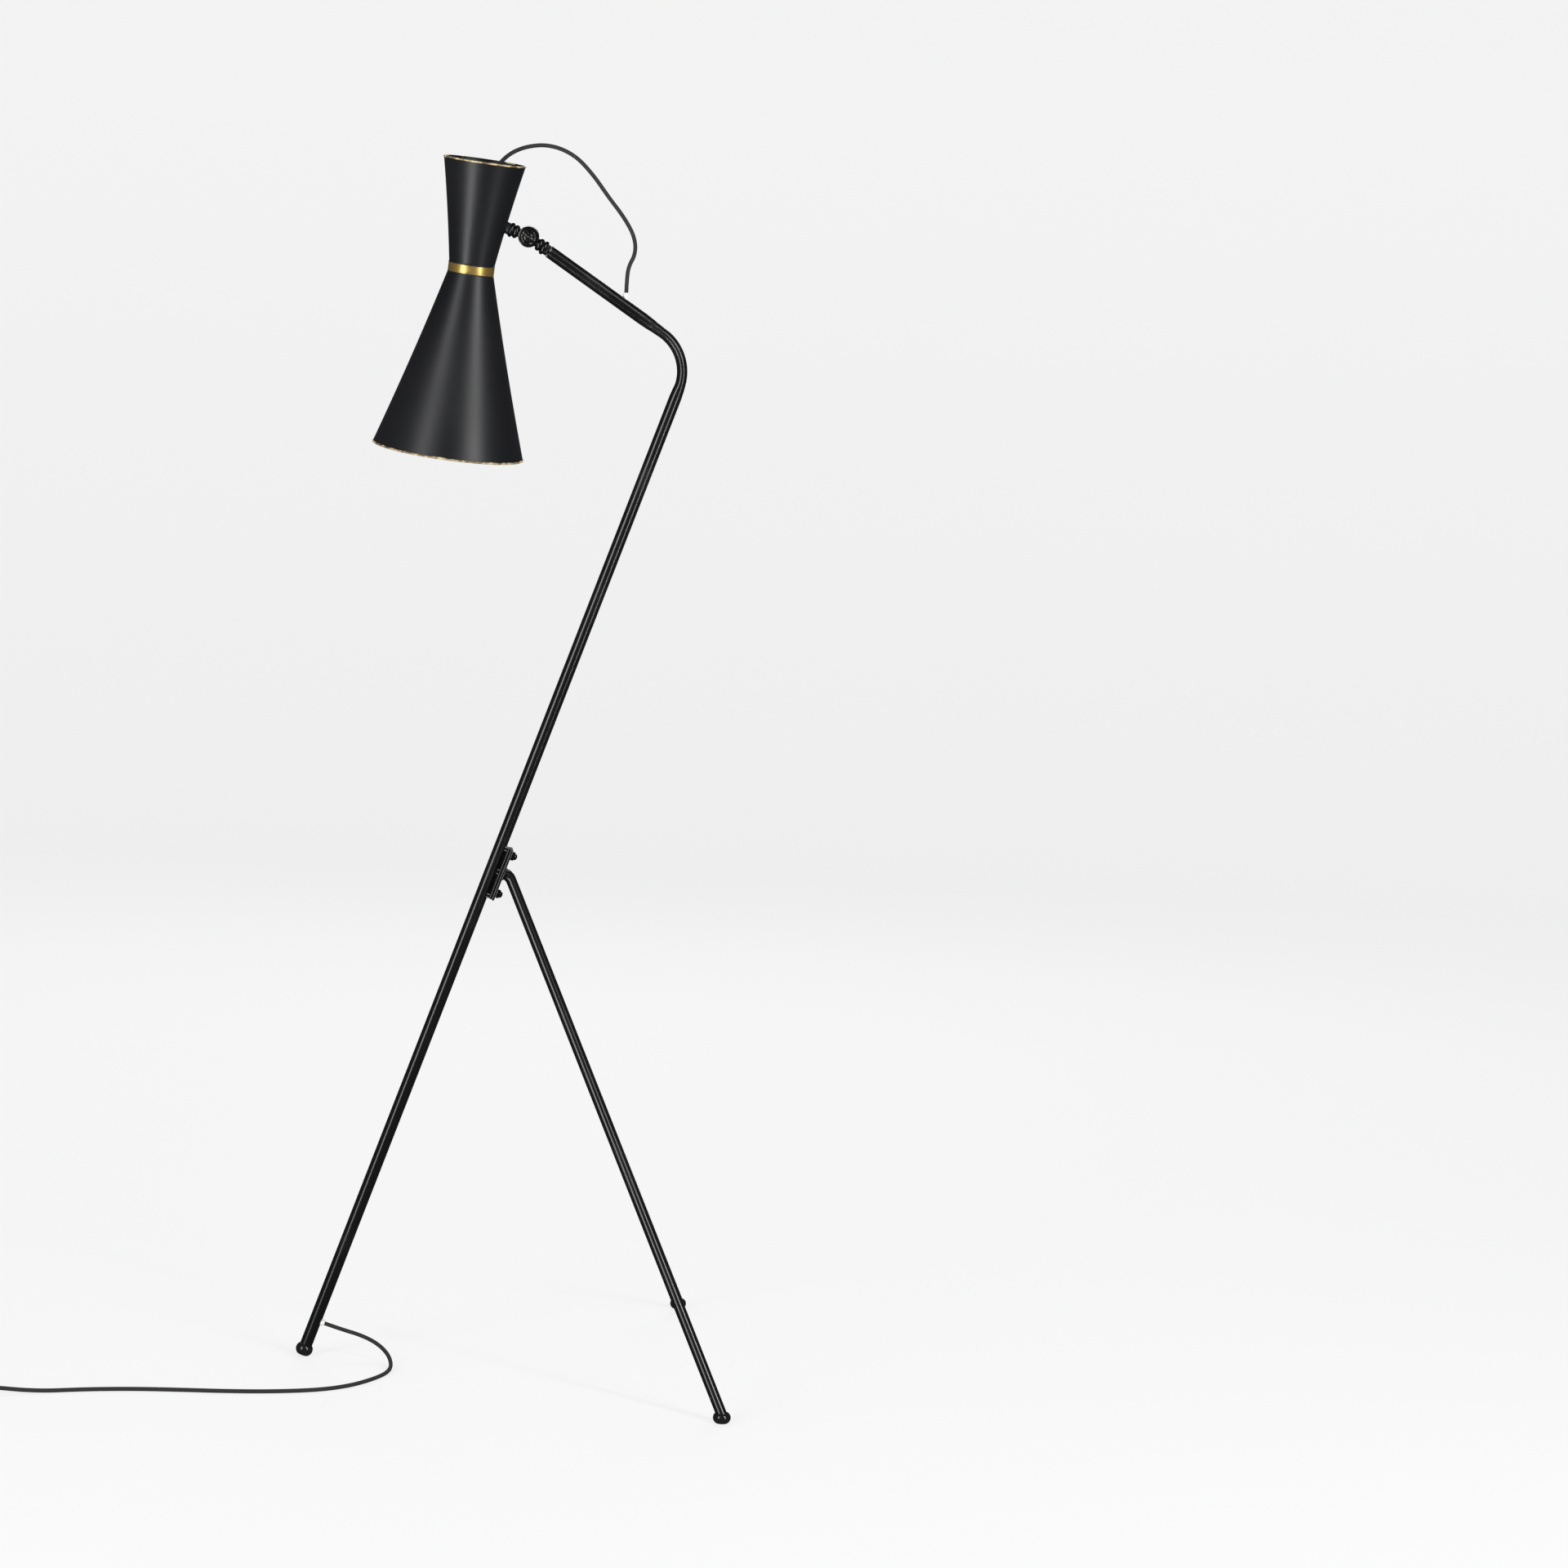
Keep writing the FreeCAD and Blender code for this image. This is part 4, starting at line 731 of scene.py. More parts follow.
def run_tree(thing, tree, values):
    """Puts a tree on an object, sets its inputs and keeps the result as a plain mesh."""
    modifier = thing.modifiers.new(tree.name, "NODES")
    modifier.node_group = tree
    for item in tree.interface.items_tree:
        if item.in_out == "INPUT" and item.name in values:
            modifier[item.identifier] = values[item.name]
    mesh = evaluated_mesh(thing)
    thing.modifiers.clear()
    old = thing.data
    thing.data = mesh
    bpy.data.meshes.remove(old)
    mesh.name = thing.name
    finish_mesh(mesh)
    return thing


def stored_wear(graph, geometry, value):
    values = {"Geometry": geometry, "Name": "wear", "Value": value}
    return graph.add("GeometryNodeStoreNamedAttribute", {"data_type": "FLOAT", "domain": "POINT"}, values)


def spun_sheet_tree():
    """A wall spun from a bowed line, its rim rolled over a bead."""
    lengths = {"Rim radius": 0.05, "Neck radius": 0.03, "Rim height": 0.1, "Neck height": 0.0,
               "Bow": 0.001, "Sheet": 0.001, "Bead": 0.001, "Worn share": 0.02}
    inputs = [(label, "NodeSocketFloat", default) for label, default in lengths.items()]
    inputs += [("Around", "NodeSocketInt", 193), ("Along", "NodeSocketInt", 97),
               ("Material", "NodeSocketMaterial", None)]
    tree, graph, given = tree_with("spun_sheet", inputs)
    walls = []
    for inner in (0, 1):
        values = {"Size X": 1.0, "Size Y": 1.0, "Vertices X": given["Around"], "Vertices Y": given["Along"]}
        grid = graph.add("GeometryNodeMeshGrid", {}, values)
        place = graph.add("GeometryNodeInputPosition")
        apart = graph.add("ShaderNodeSeparateXYZ", {}, {"Vector": place}, "X")
        node = apart.socket.node
        angle = (apart + 0.5) * (2 * math.pi)
        share = Value(graph, node.outputs["Y"]) + 0.5
        span = given["Rim radius"] - given["Neck radius"]
        bow = given["Bow"] * 4.0 * share * (1 - share)
        radius = given["Neck radius"] + span * share - bow - given["Sheet"] * float(inner)
        height = given["Neck height"] + (given["Rim height"] - given["Neck height"]) * share
        across = radius.maths("COSINE", angle) * radius
        away = radius.maths("SINE", angle) * radius
        point = graph.add("ShaderNodeCombineXYZ", {}, {"X": across, "Y": away, "Z": height})
        worn = share.step(1 - given["Worn share"], 1.0) * float(1 - inner)
        stored = stored_wear(graph, grid, worn)
        walls.append(graph.add("GeometryNodeSetPosition", {}, {"Geometry": stored, "Position": point}))
    inside = graph.add("GeometryNodeFlipFaces", {}, {"Mesh": walls[1]})
    circle = graph.add("GeometryNodeCurvePrimitiveCircle", {},
                       {"Resolution": 192, "Radius": given["Rim radius"] - given["Sheet"] * 0.5}, "Curve")
    lift = graph.add("ShaderNodeCombineXYZ", {}, {"Z": given["Rim height"]})
    rim_line = graph.add("GeometryNodeSetPosition", {}, {"Geometry": circle, "Offset": lift})
    section = {"Resolution": 14, "Radius": given["Bead"]}
    profile = graph.add("GeometryNodeCurvePrimitiveCircle", {}, section, "Curve")
    bead = graph.add("GeometryNodeCurveToMesh", {}, {"Curve": rim_line, "Profile Curve": profile})
    # The bead's wear rises towards its front half (local -Y). This is real rim wear plus a painted highlight
    # in bare brass along the front.
    place = graph.add("GeometryNodeInputPosition")
    apart = graph.add("ShaderNodeSeparateXYZ", {}, {"Vector": place}, "Y")
    front = apart.maths("DIVIDE", apart, given["Rim radius"])
    bead = stored_wear(graph, bead, 0.55 - front * 0.3)
    joined = graph.add("GeometryNodeJoinGeometry")
    entry = joined.socket.node.inputs[0]
    for geometry in (bead, inside, walls[0]):
        graph.join(geometry, entry)
    return close_tree(tree, graph, joined, given["Material"])


def row_tree():
    """Copies of a piece set out along a line."""
    inputs = [("Count", "NodeSocketInt", 2), ("Start", "NodeSocketVector", None),
              ("Spacing", "NodeSocketVector", None), ("Material", "NodeSocketMaterial", None)]
    tree, graph, given = tree_with("row_of_pieces", inputs)
    line = graph.add("GeometryNodeMeshLine", {"mode": "OFFSET"},
                     {"Count": given["Count"], "Start Location": given["Start"], "Offset": given["Spacing"]})
    copies = graph.add("GeometryNodeInstanceOnPoints", {}, {"Points": line, "Instance": given["Geometry"]})
    return close_tree(tree, graph, copies, given["Material"])


def in_row(thing, count, start, spacing):
    """Repeats a piece drawn at its first place."""
    values = {"Count": count, "Start": tuple(start), "Spacing": tuple(spacing),
              "Material": thing.data.materials[0]}
    return run_tree(thing, bpy.data.node_groups["row_of_pieces"], values)


# ---- cords

def spline_curve(name, route, bevel):
    curve = bpy.data.curves.new(name, "CURVE")
    curve.dimensions = "3D"
    spline = curve.splines.new("NURBS")
    spline.points.add(len(route) - 1)
    for point, place in zip(spline.points, route):
        point.co = (*place, 1.0)
    spline.order_u = 3
    spline.use_endpoint_u = True
    spline.resolution_u = 10
    curve.bevel_depth = bevel
    curve.bevel_resolution = 6
    curve.use_fill_caps = True
    return link(name, curve)


def line_of(route):
    """Points of the smooth line that a route's spline makes."""
    thing = spline_curve("route_reader", route, 0.0)
    mesh = evaluated_mesh(thing)
    points = [vertex.co.copy() for vertex in mesh.vertices]
    curve = thing.data
    bpy.data.objects.remove(thing)
    bpy.data.curves.remove(curve)
    bpy.data.meshes.remove(mesh)
    return points


def length_of(points):
    return sum((b - a).length for a, b in zip(points, points[1:]))


def tube_on(name, points, radius, material_name):
    """Mesh tube on a line in metres, its section carried along without twist."""
    rings = []
    side = (points[1] - points[0]).cross(ACROSS).normalized()
    for index, point in enumerate(points):
        before = points[max(index - 1, 0)]
        after = points[min(index + 1, len(points) - 1)]
        ahead = (after - before).normalized()
        side = (side - ahead * side.dot(ahead)).normalized()
        rings.append(ring_of(point, side * radius, ahead.cross(side) * radius, 24))
    return new_piece(name, [skinned(rings)], material_name)


def coil_route():
    """Upper layer of turns inwards, a climb down, then the lower layer outwards."""
    turns = 2 * COIL_LAYER_TURNS + COIL_CLIMB_TURNS
    count = round(turns * COIL_POINTS_PER_TURN)
    route = []
    for k in range(count + 1):
        turn = turns * k / count
        if turn < COIL_LAYER_TURNS:
            share = turn / COIL_LAYER_TURNS
            radius = COIL_OUTER_TURN + (COIL_INNER_TURN - COIL_OUTER_TURN) * share
            height = COIL_TOP_Z
        elif turn < COIL_LAYER_TURNS + COIL_CLIMB_TURNS:
            share = (turn - COIL_LAYER_TURNS) / COIL_CLIMB_TURNS
            radius = COIL_INNER_TURN
            height = COIL_TOP_Z + (COIL_LOW_Z - COIL_TOP_Z) * share * share * (3 - 2 * share)
        else:
            share = (turn - COIL_LAYER_TURNS - COIL_CLIMB_TURNS) / COIL_LAYER_TURNS
            radius = COIL_INNER_TURN + (COIL_OUTER_TURN - COIL_INNER_TURN) * share
            height = COIL_LOW_Z
        angle = -math.pi / 2 - 2 * math.pi * turn
        route.append((COIL_CENTRE.x + radius * math.cos(angle),
                      COIL_CENTRE.y + radius * math.sin(angle), height))
    return route


# ---- operators: one for each piece or group

class BuildOperator:
    bl_options = {"REGISTER", "UNDO"}

    def execute(self, context):
        self.build()
        return {"FINISHED"}


class LAMP_OT_camera(BuildOperator, bpy.types.Operator):
    """Sets the camera at chest height, a little to one side of the lamp"""
    bl_idname = "lamp.camera"
    bl_label = "Camera"

    def build(self):
        flat = math.cos(CAMERA_PITCH)
        ahead = Vector((math.sin(CAMERA_YAW) * flat, math.cos(CAMERA_YAW) * flat, -math.sin(CAMERA_PITCH)))
        level = Vector((math.cos(CAMERA_YAW), -math.sin(CAMERA_YAW), 0))
        above = level.cross(ahead)
        right = level * math.cos(CAMERA_ROLL) + above * math.sin(CAMERA_ROLL)
        top = above * math.cos(CAMERA_ROLL) - level * math.sin(CAMERA_ROLL)
        data = bpy.data.cameras.new("lamp_camera")
        data.sensor_width = 36.0
        data.lens = stage_settings().lens
        data.clip_start = 0.1
        data.clip_end = 60.0
        camera = link("lamp_camera", data)
        turn = Matrix((right, top, -ahead)).transposed().to_4x4()
        camera.matrix_world = Matrix.Translation(CAMERA_PLACE) @ turn
        bpy.context.scene.camera = camera


class LAMP_OT_finishes(BuildOperator, bpy.types.Operator):
    """Makes every finish and the shared node trees"""
    bl_idname = "lamp.finishes"
    bl_label = "Finishes"

    def build(self):
        make_materials()
        spun_sheet_tree()
        row_tree()


class LAMP_OT_head_cord(BuildOperator, bpy.types.Operator):
    """Loop of cord from the arm over into the shade, in two halves"""
    bl_idname = "lamp.head_cord"
    bl_label = "Head cord"

    def build(self):
        line = line_of(HEAD_CORD_ROUTE)
        middle = len(line) // 2
        radius = sizes().cord_diameter / 2
        lower = line[:middle + 1]
        upper = line[middle:]
        first = tube_on("head_cord_arm_side", lower, radius, "cord_sheath")
        second = tube_on("head_cord_shade_side", upper, radius, "cord_sheath")
        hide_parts("head_cord")
        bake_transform(first)
        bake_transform(second)
        for thing, points in ((first, lower), (second, upper)):
            length_of(points)


class LAMP_OT_mains_lead(BuildOperator, bpy.types.Operator):
    """Mains lead: floor run, rocker switch, coil, ties and plug"""
    bl_idname = "lamp.mains_lead"
    bl_label = "Mains lead"

    def build(self):
        route = [*MAINS_LEAD_ROUTE, *coil_route(), *PLUG_LEAD_ROUTE]
        lead = spline_curve("mains_lead_run", route, sizes().cord_diameter / 2)
        lead.data.materials.append(material("cord_sheath"))
        settled(lead, "stand", "cord_sheath", "mains_lead", "lead_tail", "lead_coil", "plug_lead")
        on_lead = copies((
            ("switch_base", "switch_lower_shell", "stand", "switch_black", "switch_plastic"),
            ("switch_cover", "switch_upper_shell", "stand", "switch_black", "switch_plastic"),
            ("switch_rocker", "switch_rocker_key", "rocker", "rocker_black", "rocker_plastic"),
            ("switch_screws", "switch_shell_screws", "stand", "plain_steel", "steel"),
            ("switch_contacts", "switch_terminals", "stand", "turned_brass", "brass"),
            ("switch_boots", "switch_cord_boots", "stand", "boot_matt", "boot_rubber"),
            ("coil_ties", "coil_straps", "stand", "tie_black", "tie_strap"),
            ("plug_body", "plug_moulding", "stand", "plug_black", "plug_plastic"),
            ("plug_pins", "plug_contact_pins", "stand", "plated_pins", "plated_brass"),
        ))
        length = length_of(line_of(route))


class LAMP_OT_stem(BuildOperator, bpy.types.Operator):
    """Bent tube that is both the rear leg and the arm, with its foot, bush and collars"""
    bl_idname = "lamp.stem"
    bl_label = "Stem and arm"

    def build(self):
        stem_r = sizes().stem_diameter / MM / 2
        arm_r = sizes().arm_diameter / MM / 2
        lift = FOOT_SOLE_R * math.sin(math.radians(STEM_LEAN)) / STEM_DIR.z
        start = lift + FOOT_SOLE
        sweep = BEND_RADIUS * BEND_TURN
        rings = []
        wear = []

        def section(point, direction, wide, high, mark=0.0):
            out = ACROSS.cross(direction)
            rings.append([p * MM for p in ring_of(point, ACROSS * wide, out * high, 64)])
            wear.append(mark)

        stem_end = STEM_LENGTH - BEND_TRIM - STEM_RECOVERY
        for k in range(41):
            section(on_stem(start + (stem_end - start) * k / 40), STEM_DIR, stem_r, stem_r)
        stations = [(-STEM_RECOVERY, stem_r, 0), (-STEM_RECOVERY * 0.4, stem_r, 0.35),
                    (sweep * 0.08, stem_r, 0.9), (sweep * 0.25, stem_r, 1), (sweep * 0.5, stem_r, 1),
                    (sweep * 0.75, arm_r, 1), (sweep, arm_r, 0.95),
                    (sweep + ARM_RECOVERY * 0.35, arm_r, 0.7), (sweep + ARM_RECOVERY * 0.7, arm_r, 0.2),
                    (sweep + ARM_RECOVERY, arm_r, 0)]
        for low, high in zip(stations, stations[1:]):
            for k in range(1, 9):
                share = k / 8
                soft = share * share * (3 - 2 * share)
                along = low[0] + (high[0] - low[0]) * share
                round_r = low[1] + (high[1] - low[1]) * soft
                squeeze = (round_r - BEND_FLAT / 2) * (low[2] + (high[2] - low[2]) * soft)
                point, direction = bend_point(along)
                section(point, direction, round_r + squeeze * 0.8, round_r - squeeze)
        arm_end = ARM_LENGTH - BEND_TRIM - ARM_RECOVERY
        for k in range(1, 20):
            along = arm_end + (ARM_START + 6 - arm_end) * k / 19
            section(KNUCKLE + ARM_DIR * along, -ARM_DIR, arm_r, arm_r)
        for along, radius, mark in ((ARM_START + 4.5, arm_r, 0.3), (ARM_START + 1.5, arm_r, 0.45),
                                    (ARM_START + 0.5, arm_r, 0.5), (ARM_START, arm_r - 0.5, 0.55),
                                    (ARM_START, arm_r - 1.4, 0.3)):
            section(KNUCKLE + ARM_DIR * along, -ARM_DIR, radius, radius, mark)
        tube = new_piece("stem_and_arm_tube", [skinned(rings, wear)], "tube_enamel")
        settled(tube, "stand", "tube_paint", "stem_tube")
        smooth_copy("arm_bush", "arm_swivel_bush", "stand", "turned_brass", "brass")
        smooth_copy("inner_lead", "lead_inside_tube", "stand", "cord_sheath", "cord_sheath")
        foot_place = place_at(on_stem(lift), STEM_DIR, ACROSS)
        ball = lathe(foot_outline(STEM_FOOT_HEIGHT), foot_place)
        foot = new_piece("stem_foot_ball", [ball], "foot_gloss", 50.0)
        settled(foot, "stand", "foot_rubber", "stem_foot")
        self.collars()

    def collars(self):
        exit_point = KNUCKLE + ARM_DIR * UPPER_COLLAR_ALONG
        upper = rounded([(2.6, 6.7), (3.6, 6.7), (3.6, 17.3), (2.6, 17.3), (2.6, 6.7)], 0.5)
        place = place_at(exit_point, UP, ACROSS)
        thing = new_piece("upper_cord_collar", [lathe(upper, place, 48)], "collar_nylon")
        settled(thing, "stand", "collar_nylon", "upper_collar")
        lower = rounded([(2.6, 5.78), (4.0, 5.78), (4.0, 12.2), (2.6, 12.2), (2.6, 5.78)], 0.5)
        place = place_at(on_stem(LOWER_COLLAR_ALONG), STEM_OUT, ACROSS)
        thing = new_piece("lower_cord_collar", [lathe(lower, place, 48)], "collar_nylon")
        settled(thing, "stand", "collar_nylon", "lower_collar")


def bend_point(along):
    """Centre-line point and direction, measured from where the bend starts."""
    sweep = BEND_RADIUS * BEND_TURN
    if along <= 0:
        return CORNER - STEM_DIR * (BEND_TRIM - along), STEM_DIR
    if along >= sweep:
        return CORNER - ARM_DIR * (BEND_TRIM + along - sweep), -ARM_DIR
    angle = along / BEND_RADIUS
    centre = CORNER - STEM_DIR * BEND_TRIM - STEM_OUT * BEND_RADIUS
    point = centre + STEM_OUT * (BEND_RADIUS * math.cos(angle)) + STEM_DIR * (BEND_RADIUS * math.sin(angle))
    return point, STEM_DIR * math.cos(angle) - STEM_OUT * math.sin(angle)


def foot_outline(height):
    side = arc_through((FOOT_SOLE_R, 0), (FOOT_R, height * 0.48), (FOOT_TOP_R, height), 16)
    return [(0, 0), (FOOT_SOLE_R - 0.8, 0), *side, (0, height)]


def leg_corner(side):
    root = on_stem(LEG_ROOT, CLAMP_FACE + 2 * PLATE_T, side * LEG_ROOT_Y)
    return root, root + STEM_OUT * LEG_NECK, Vector((LEG_FOOT_X, side * LEG_FOOT_Y, LEG_END_Z))


class LAMP_OT_legs(BuildOperator, bpy.types.Operator):
    """Two splayed legs with a tight bend at their weld, and their feet"""
    bl_idname = "lamp.legs"
    bl_label = "Legs"

    def build(self):
        radius = sizes().leg_diameter / MM / 2
        feet = []
        for side, name, node in ((-1, "front_leg_tube", "front_leg"), (1, "rear_leg_tube", "rear_leg")):
            root, corner, end = leg_corner(side)
            way_in = (corner - root).normalized()
            way_out = (end - corner).normalized()
            turn = way_in.angle(way_out)
            trim = LEG_BEND_RADIUS * math.tan(turn / 2)
            square = way_in.cross(way_out).normalized()
            inward = square.cross(way_in)
            centre = corner - way_in * trim + inward * LEG_BEND_RADIUS
            points = [root]
            for k in range(13):
                angle = turn * k / 12
                points.append(centre - inward * (LEG_BEND_RADIUS * math.cos(angle))
                              + way_in * (LEG_BEND_RADIUS * math.sin(angle)))
            last = points[-1]
            points.extend(last + (end - last) * (k / 40) for k in range(1, 41))
            bead = [(0, 0), (radius + 2.0, 0), (radius + 1.6, 0.9), (radius + 0.5, 2.2), (radius - 0.5, 2.6)]
            weld = lathe(bead, place_at(root, STEM_OUT, STEM_DIR), 48)
            leg = new_piece(name, [bar(points, radius, square), weld], "tube_enamel", 40.0)
            settled(leg, "stand", "tube_paint", node)
            feet.append(Vector((end.x, end.y, 0)) - Vector((way_out.x, way_out.y, 0)) * LEG_END_OUT)
        ball = lathe(foot_outline(FOOT_HEIGHT), Matrix.Identity(4))
        foot = new_piece("leg_foot_balls", [ball], "foot_gloss", 50.0)
        in_row(foot, 2, feet[0] * MM, (feet[1] - feet[0]) * MM)
        settled(foot, "stand", "foot_rubber", "leg_feet")


def on_clamp(out):
    return place_at(on_stem(CLAMP_CENTRE, out), STEM_OUT, STEM_DIR)


class LAMP_OT_clamp(BuildOperator, bpy.types.Operator):
    """Welded bridge, the legs' plate and its two bolts with acorn nuts"""
    bl_idname = "lamp.clamp"
    bl_label = "Clamp"

    def build(self):
        place = on_clamp(CLAMP_FACE)
        parts = [plate(CLAMP_LENGTH, 20.0, 0, PLATE_T, 3.0, place)]
        for along, length, width in ((-32.5, 6.0, 12.0), (32.5, 6.0, 12.0), (1.0, 7.0, 8.4)):
            spot = place @ Matrix.Translation((along, 0, 0))
            parts.append(plate(length, width, -5.2, 0.2, 1.6, spot, 0.9))
            weld = [(0, -4.3), (5.1, -4.3), (4.6, -3.2), (0, -2.6)]
            parts.append(lathe(weld, spot, 24))
        parts.append(plate(65.0, 4.0, -3.6, 0.2, 0.6, place, 0.3))
        bridge = new_piece("clamp_bridge_plate", parts, "tube_enamel", 40.0)
        edges_worn(bridge, 0.75)
        settled(bridge, "stand", "tube_paint", "clamp_bridge")
        plate_place = on_clamp(CLAMP_FACE + PLATE_T)
        mount = plate(CLAMP_LENGTH, 35.0, 0.02, PLATE_T, 5.0, plate_place)
        leg_plate = new_piece("leg_mount_plate", [mount], "tube_enamel", 40.0)
        edges_worn(leg_plate, 0.75)
        settled(leg_plate, "stand", "tube_paint", "leg_plate")
        smooth_copy("clamp_bolts", "clamp_bolt_pair", "stand", "plain_steel", "steel")
        smooth_copy("clamp_washers", "clamp_washer_pair", "stand", "plain_steel", "steel")
        nut_place = on_clamp(CLAMP_FACE + 2 * PLATE_T + 1.0)
        dome = arc_through((4.3, 4.2), (3.4, 6.8), (0.01, 7.8), 10)
        outline = [(0, 0.3), (4.3, 0.3), *dome[:-1], (0, 7.8, 0.4)]
        turn = nut_place.to_3x3().to_4x4()
        nut = new_piece("acorn_nuts", [hexagon(10.0, 0, 4.2, turn), lathe(outline, turn, 40)],
                        "fitting_gloss", 35.0)
        edges_worn(nut, 0.3)
        start = nut_place @ Vector((-BOLT_SPACING / 2, 0, 0))
        in_row(nut, 2, start * MM, STEM_DIR * (BOLT_SPACING * MM))
        settled(nut, "stand", "fitting_black", "cap_nuts")


def neck_line():
    """Where the knuckle's neck meets the upper shade, and its direction."""
    direction = Vector((-1, 0, 0))
    wall = Vector((0, 0, KNUCKLE_UP))
    for _ in range(6):
        wall = Vector((wall_radius(wall.z), 0, wall.z))
        slope = wall_radius(wall.z + 1) - wall_radius(wall.z)
        direction = Vector((-1, 0, slope)).normalized()
        reach = (KNUCKLE_OUT - wall.x) / -direction.x
        wall = Vector((wall.x, 0, KNUCKLE_UP + direction.z * reach))
    wall = Vector((wall_radius(wall.z), 0, wall.z))
    return wall, (wall - Vector((KNUCKLE_OUT, 0, KNUCKLE_UP))).normalized()


def wall_radius(height):
    share = (height - RING_HALF) / (SHADE_TOP - RING_HALF)
    top = sizes().shade_top_radius / MM
    return NECK_WALL_R + (top - NECK_WALL_R) * share - 4 * share * (1 - share)


def half_stub(place, side):
    """The part of a neck beside the other half's cheek: a half-round bar on its own side."""
    steps = 24
    dip = math.asin(CHEEK_GAP / 2 / NECK_R)
    start = dip if side > 0 else math.pi + dip
    angles = [start + (math.pi - 2 * dip) * k / steps for k in range(steps + 1)]
    rings = []
    for height in (7.0, 14.0):
        ring = [Vector((NECK_R * math.cos(a), NECK_R * math.sin(a), height)) for a in angles]
        rings.append([(place @ point) * MM for point in ring])
    return skinned(rings)


def cheek_outline():
    edge = 0.9
    return [(0, 0), (CHEEK_R - edge, 0), (CHEEK_R, edge), (CHEEK_R, CHEEK_T - 1.2),
            (CHEEK_R - 0.35, CHEEK_T - 0.35, 0.25), (CHEEK_R - 1.2, CHEEK_T), (0, CHEEK_T)]


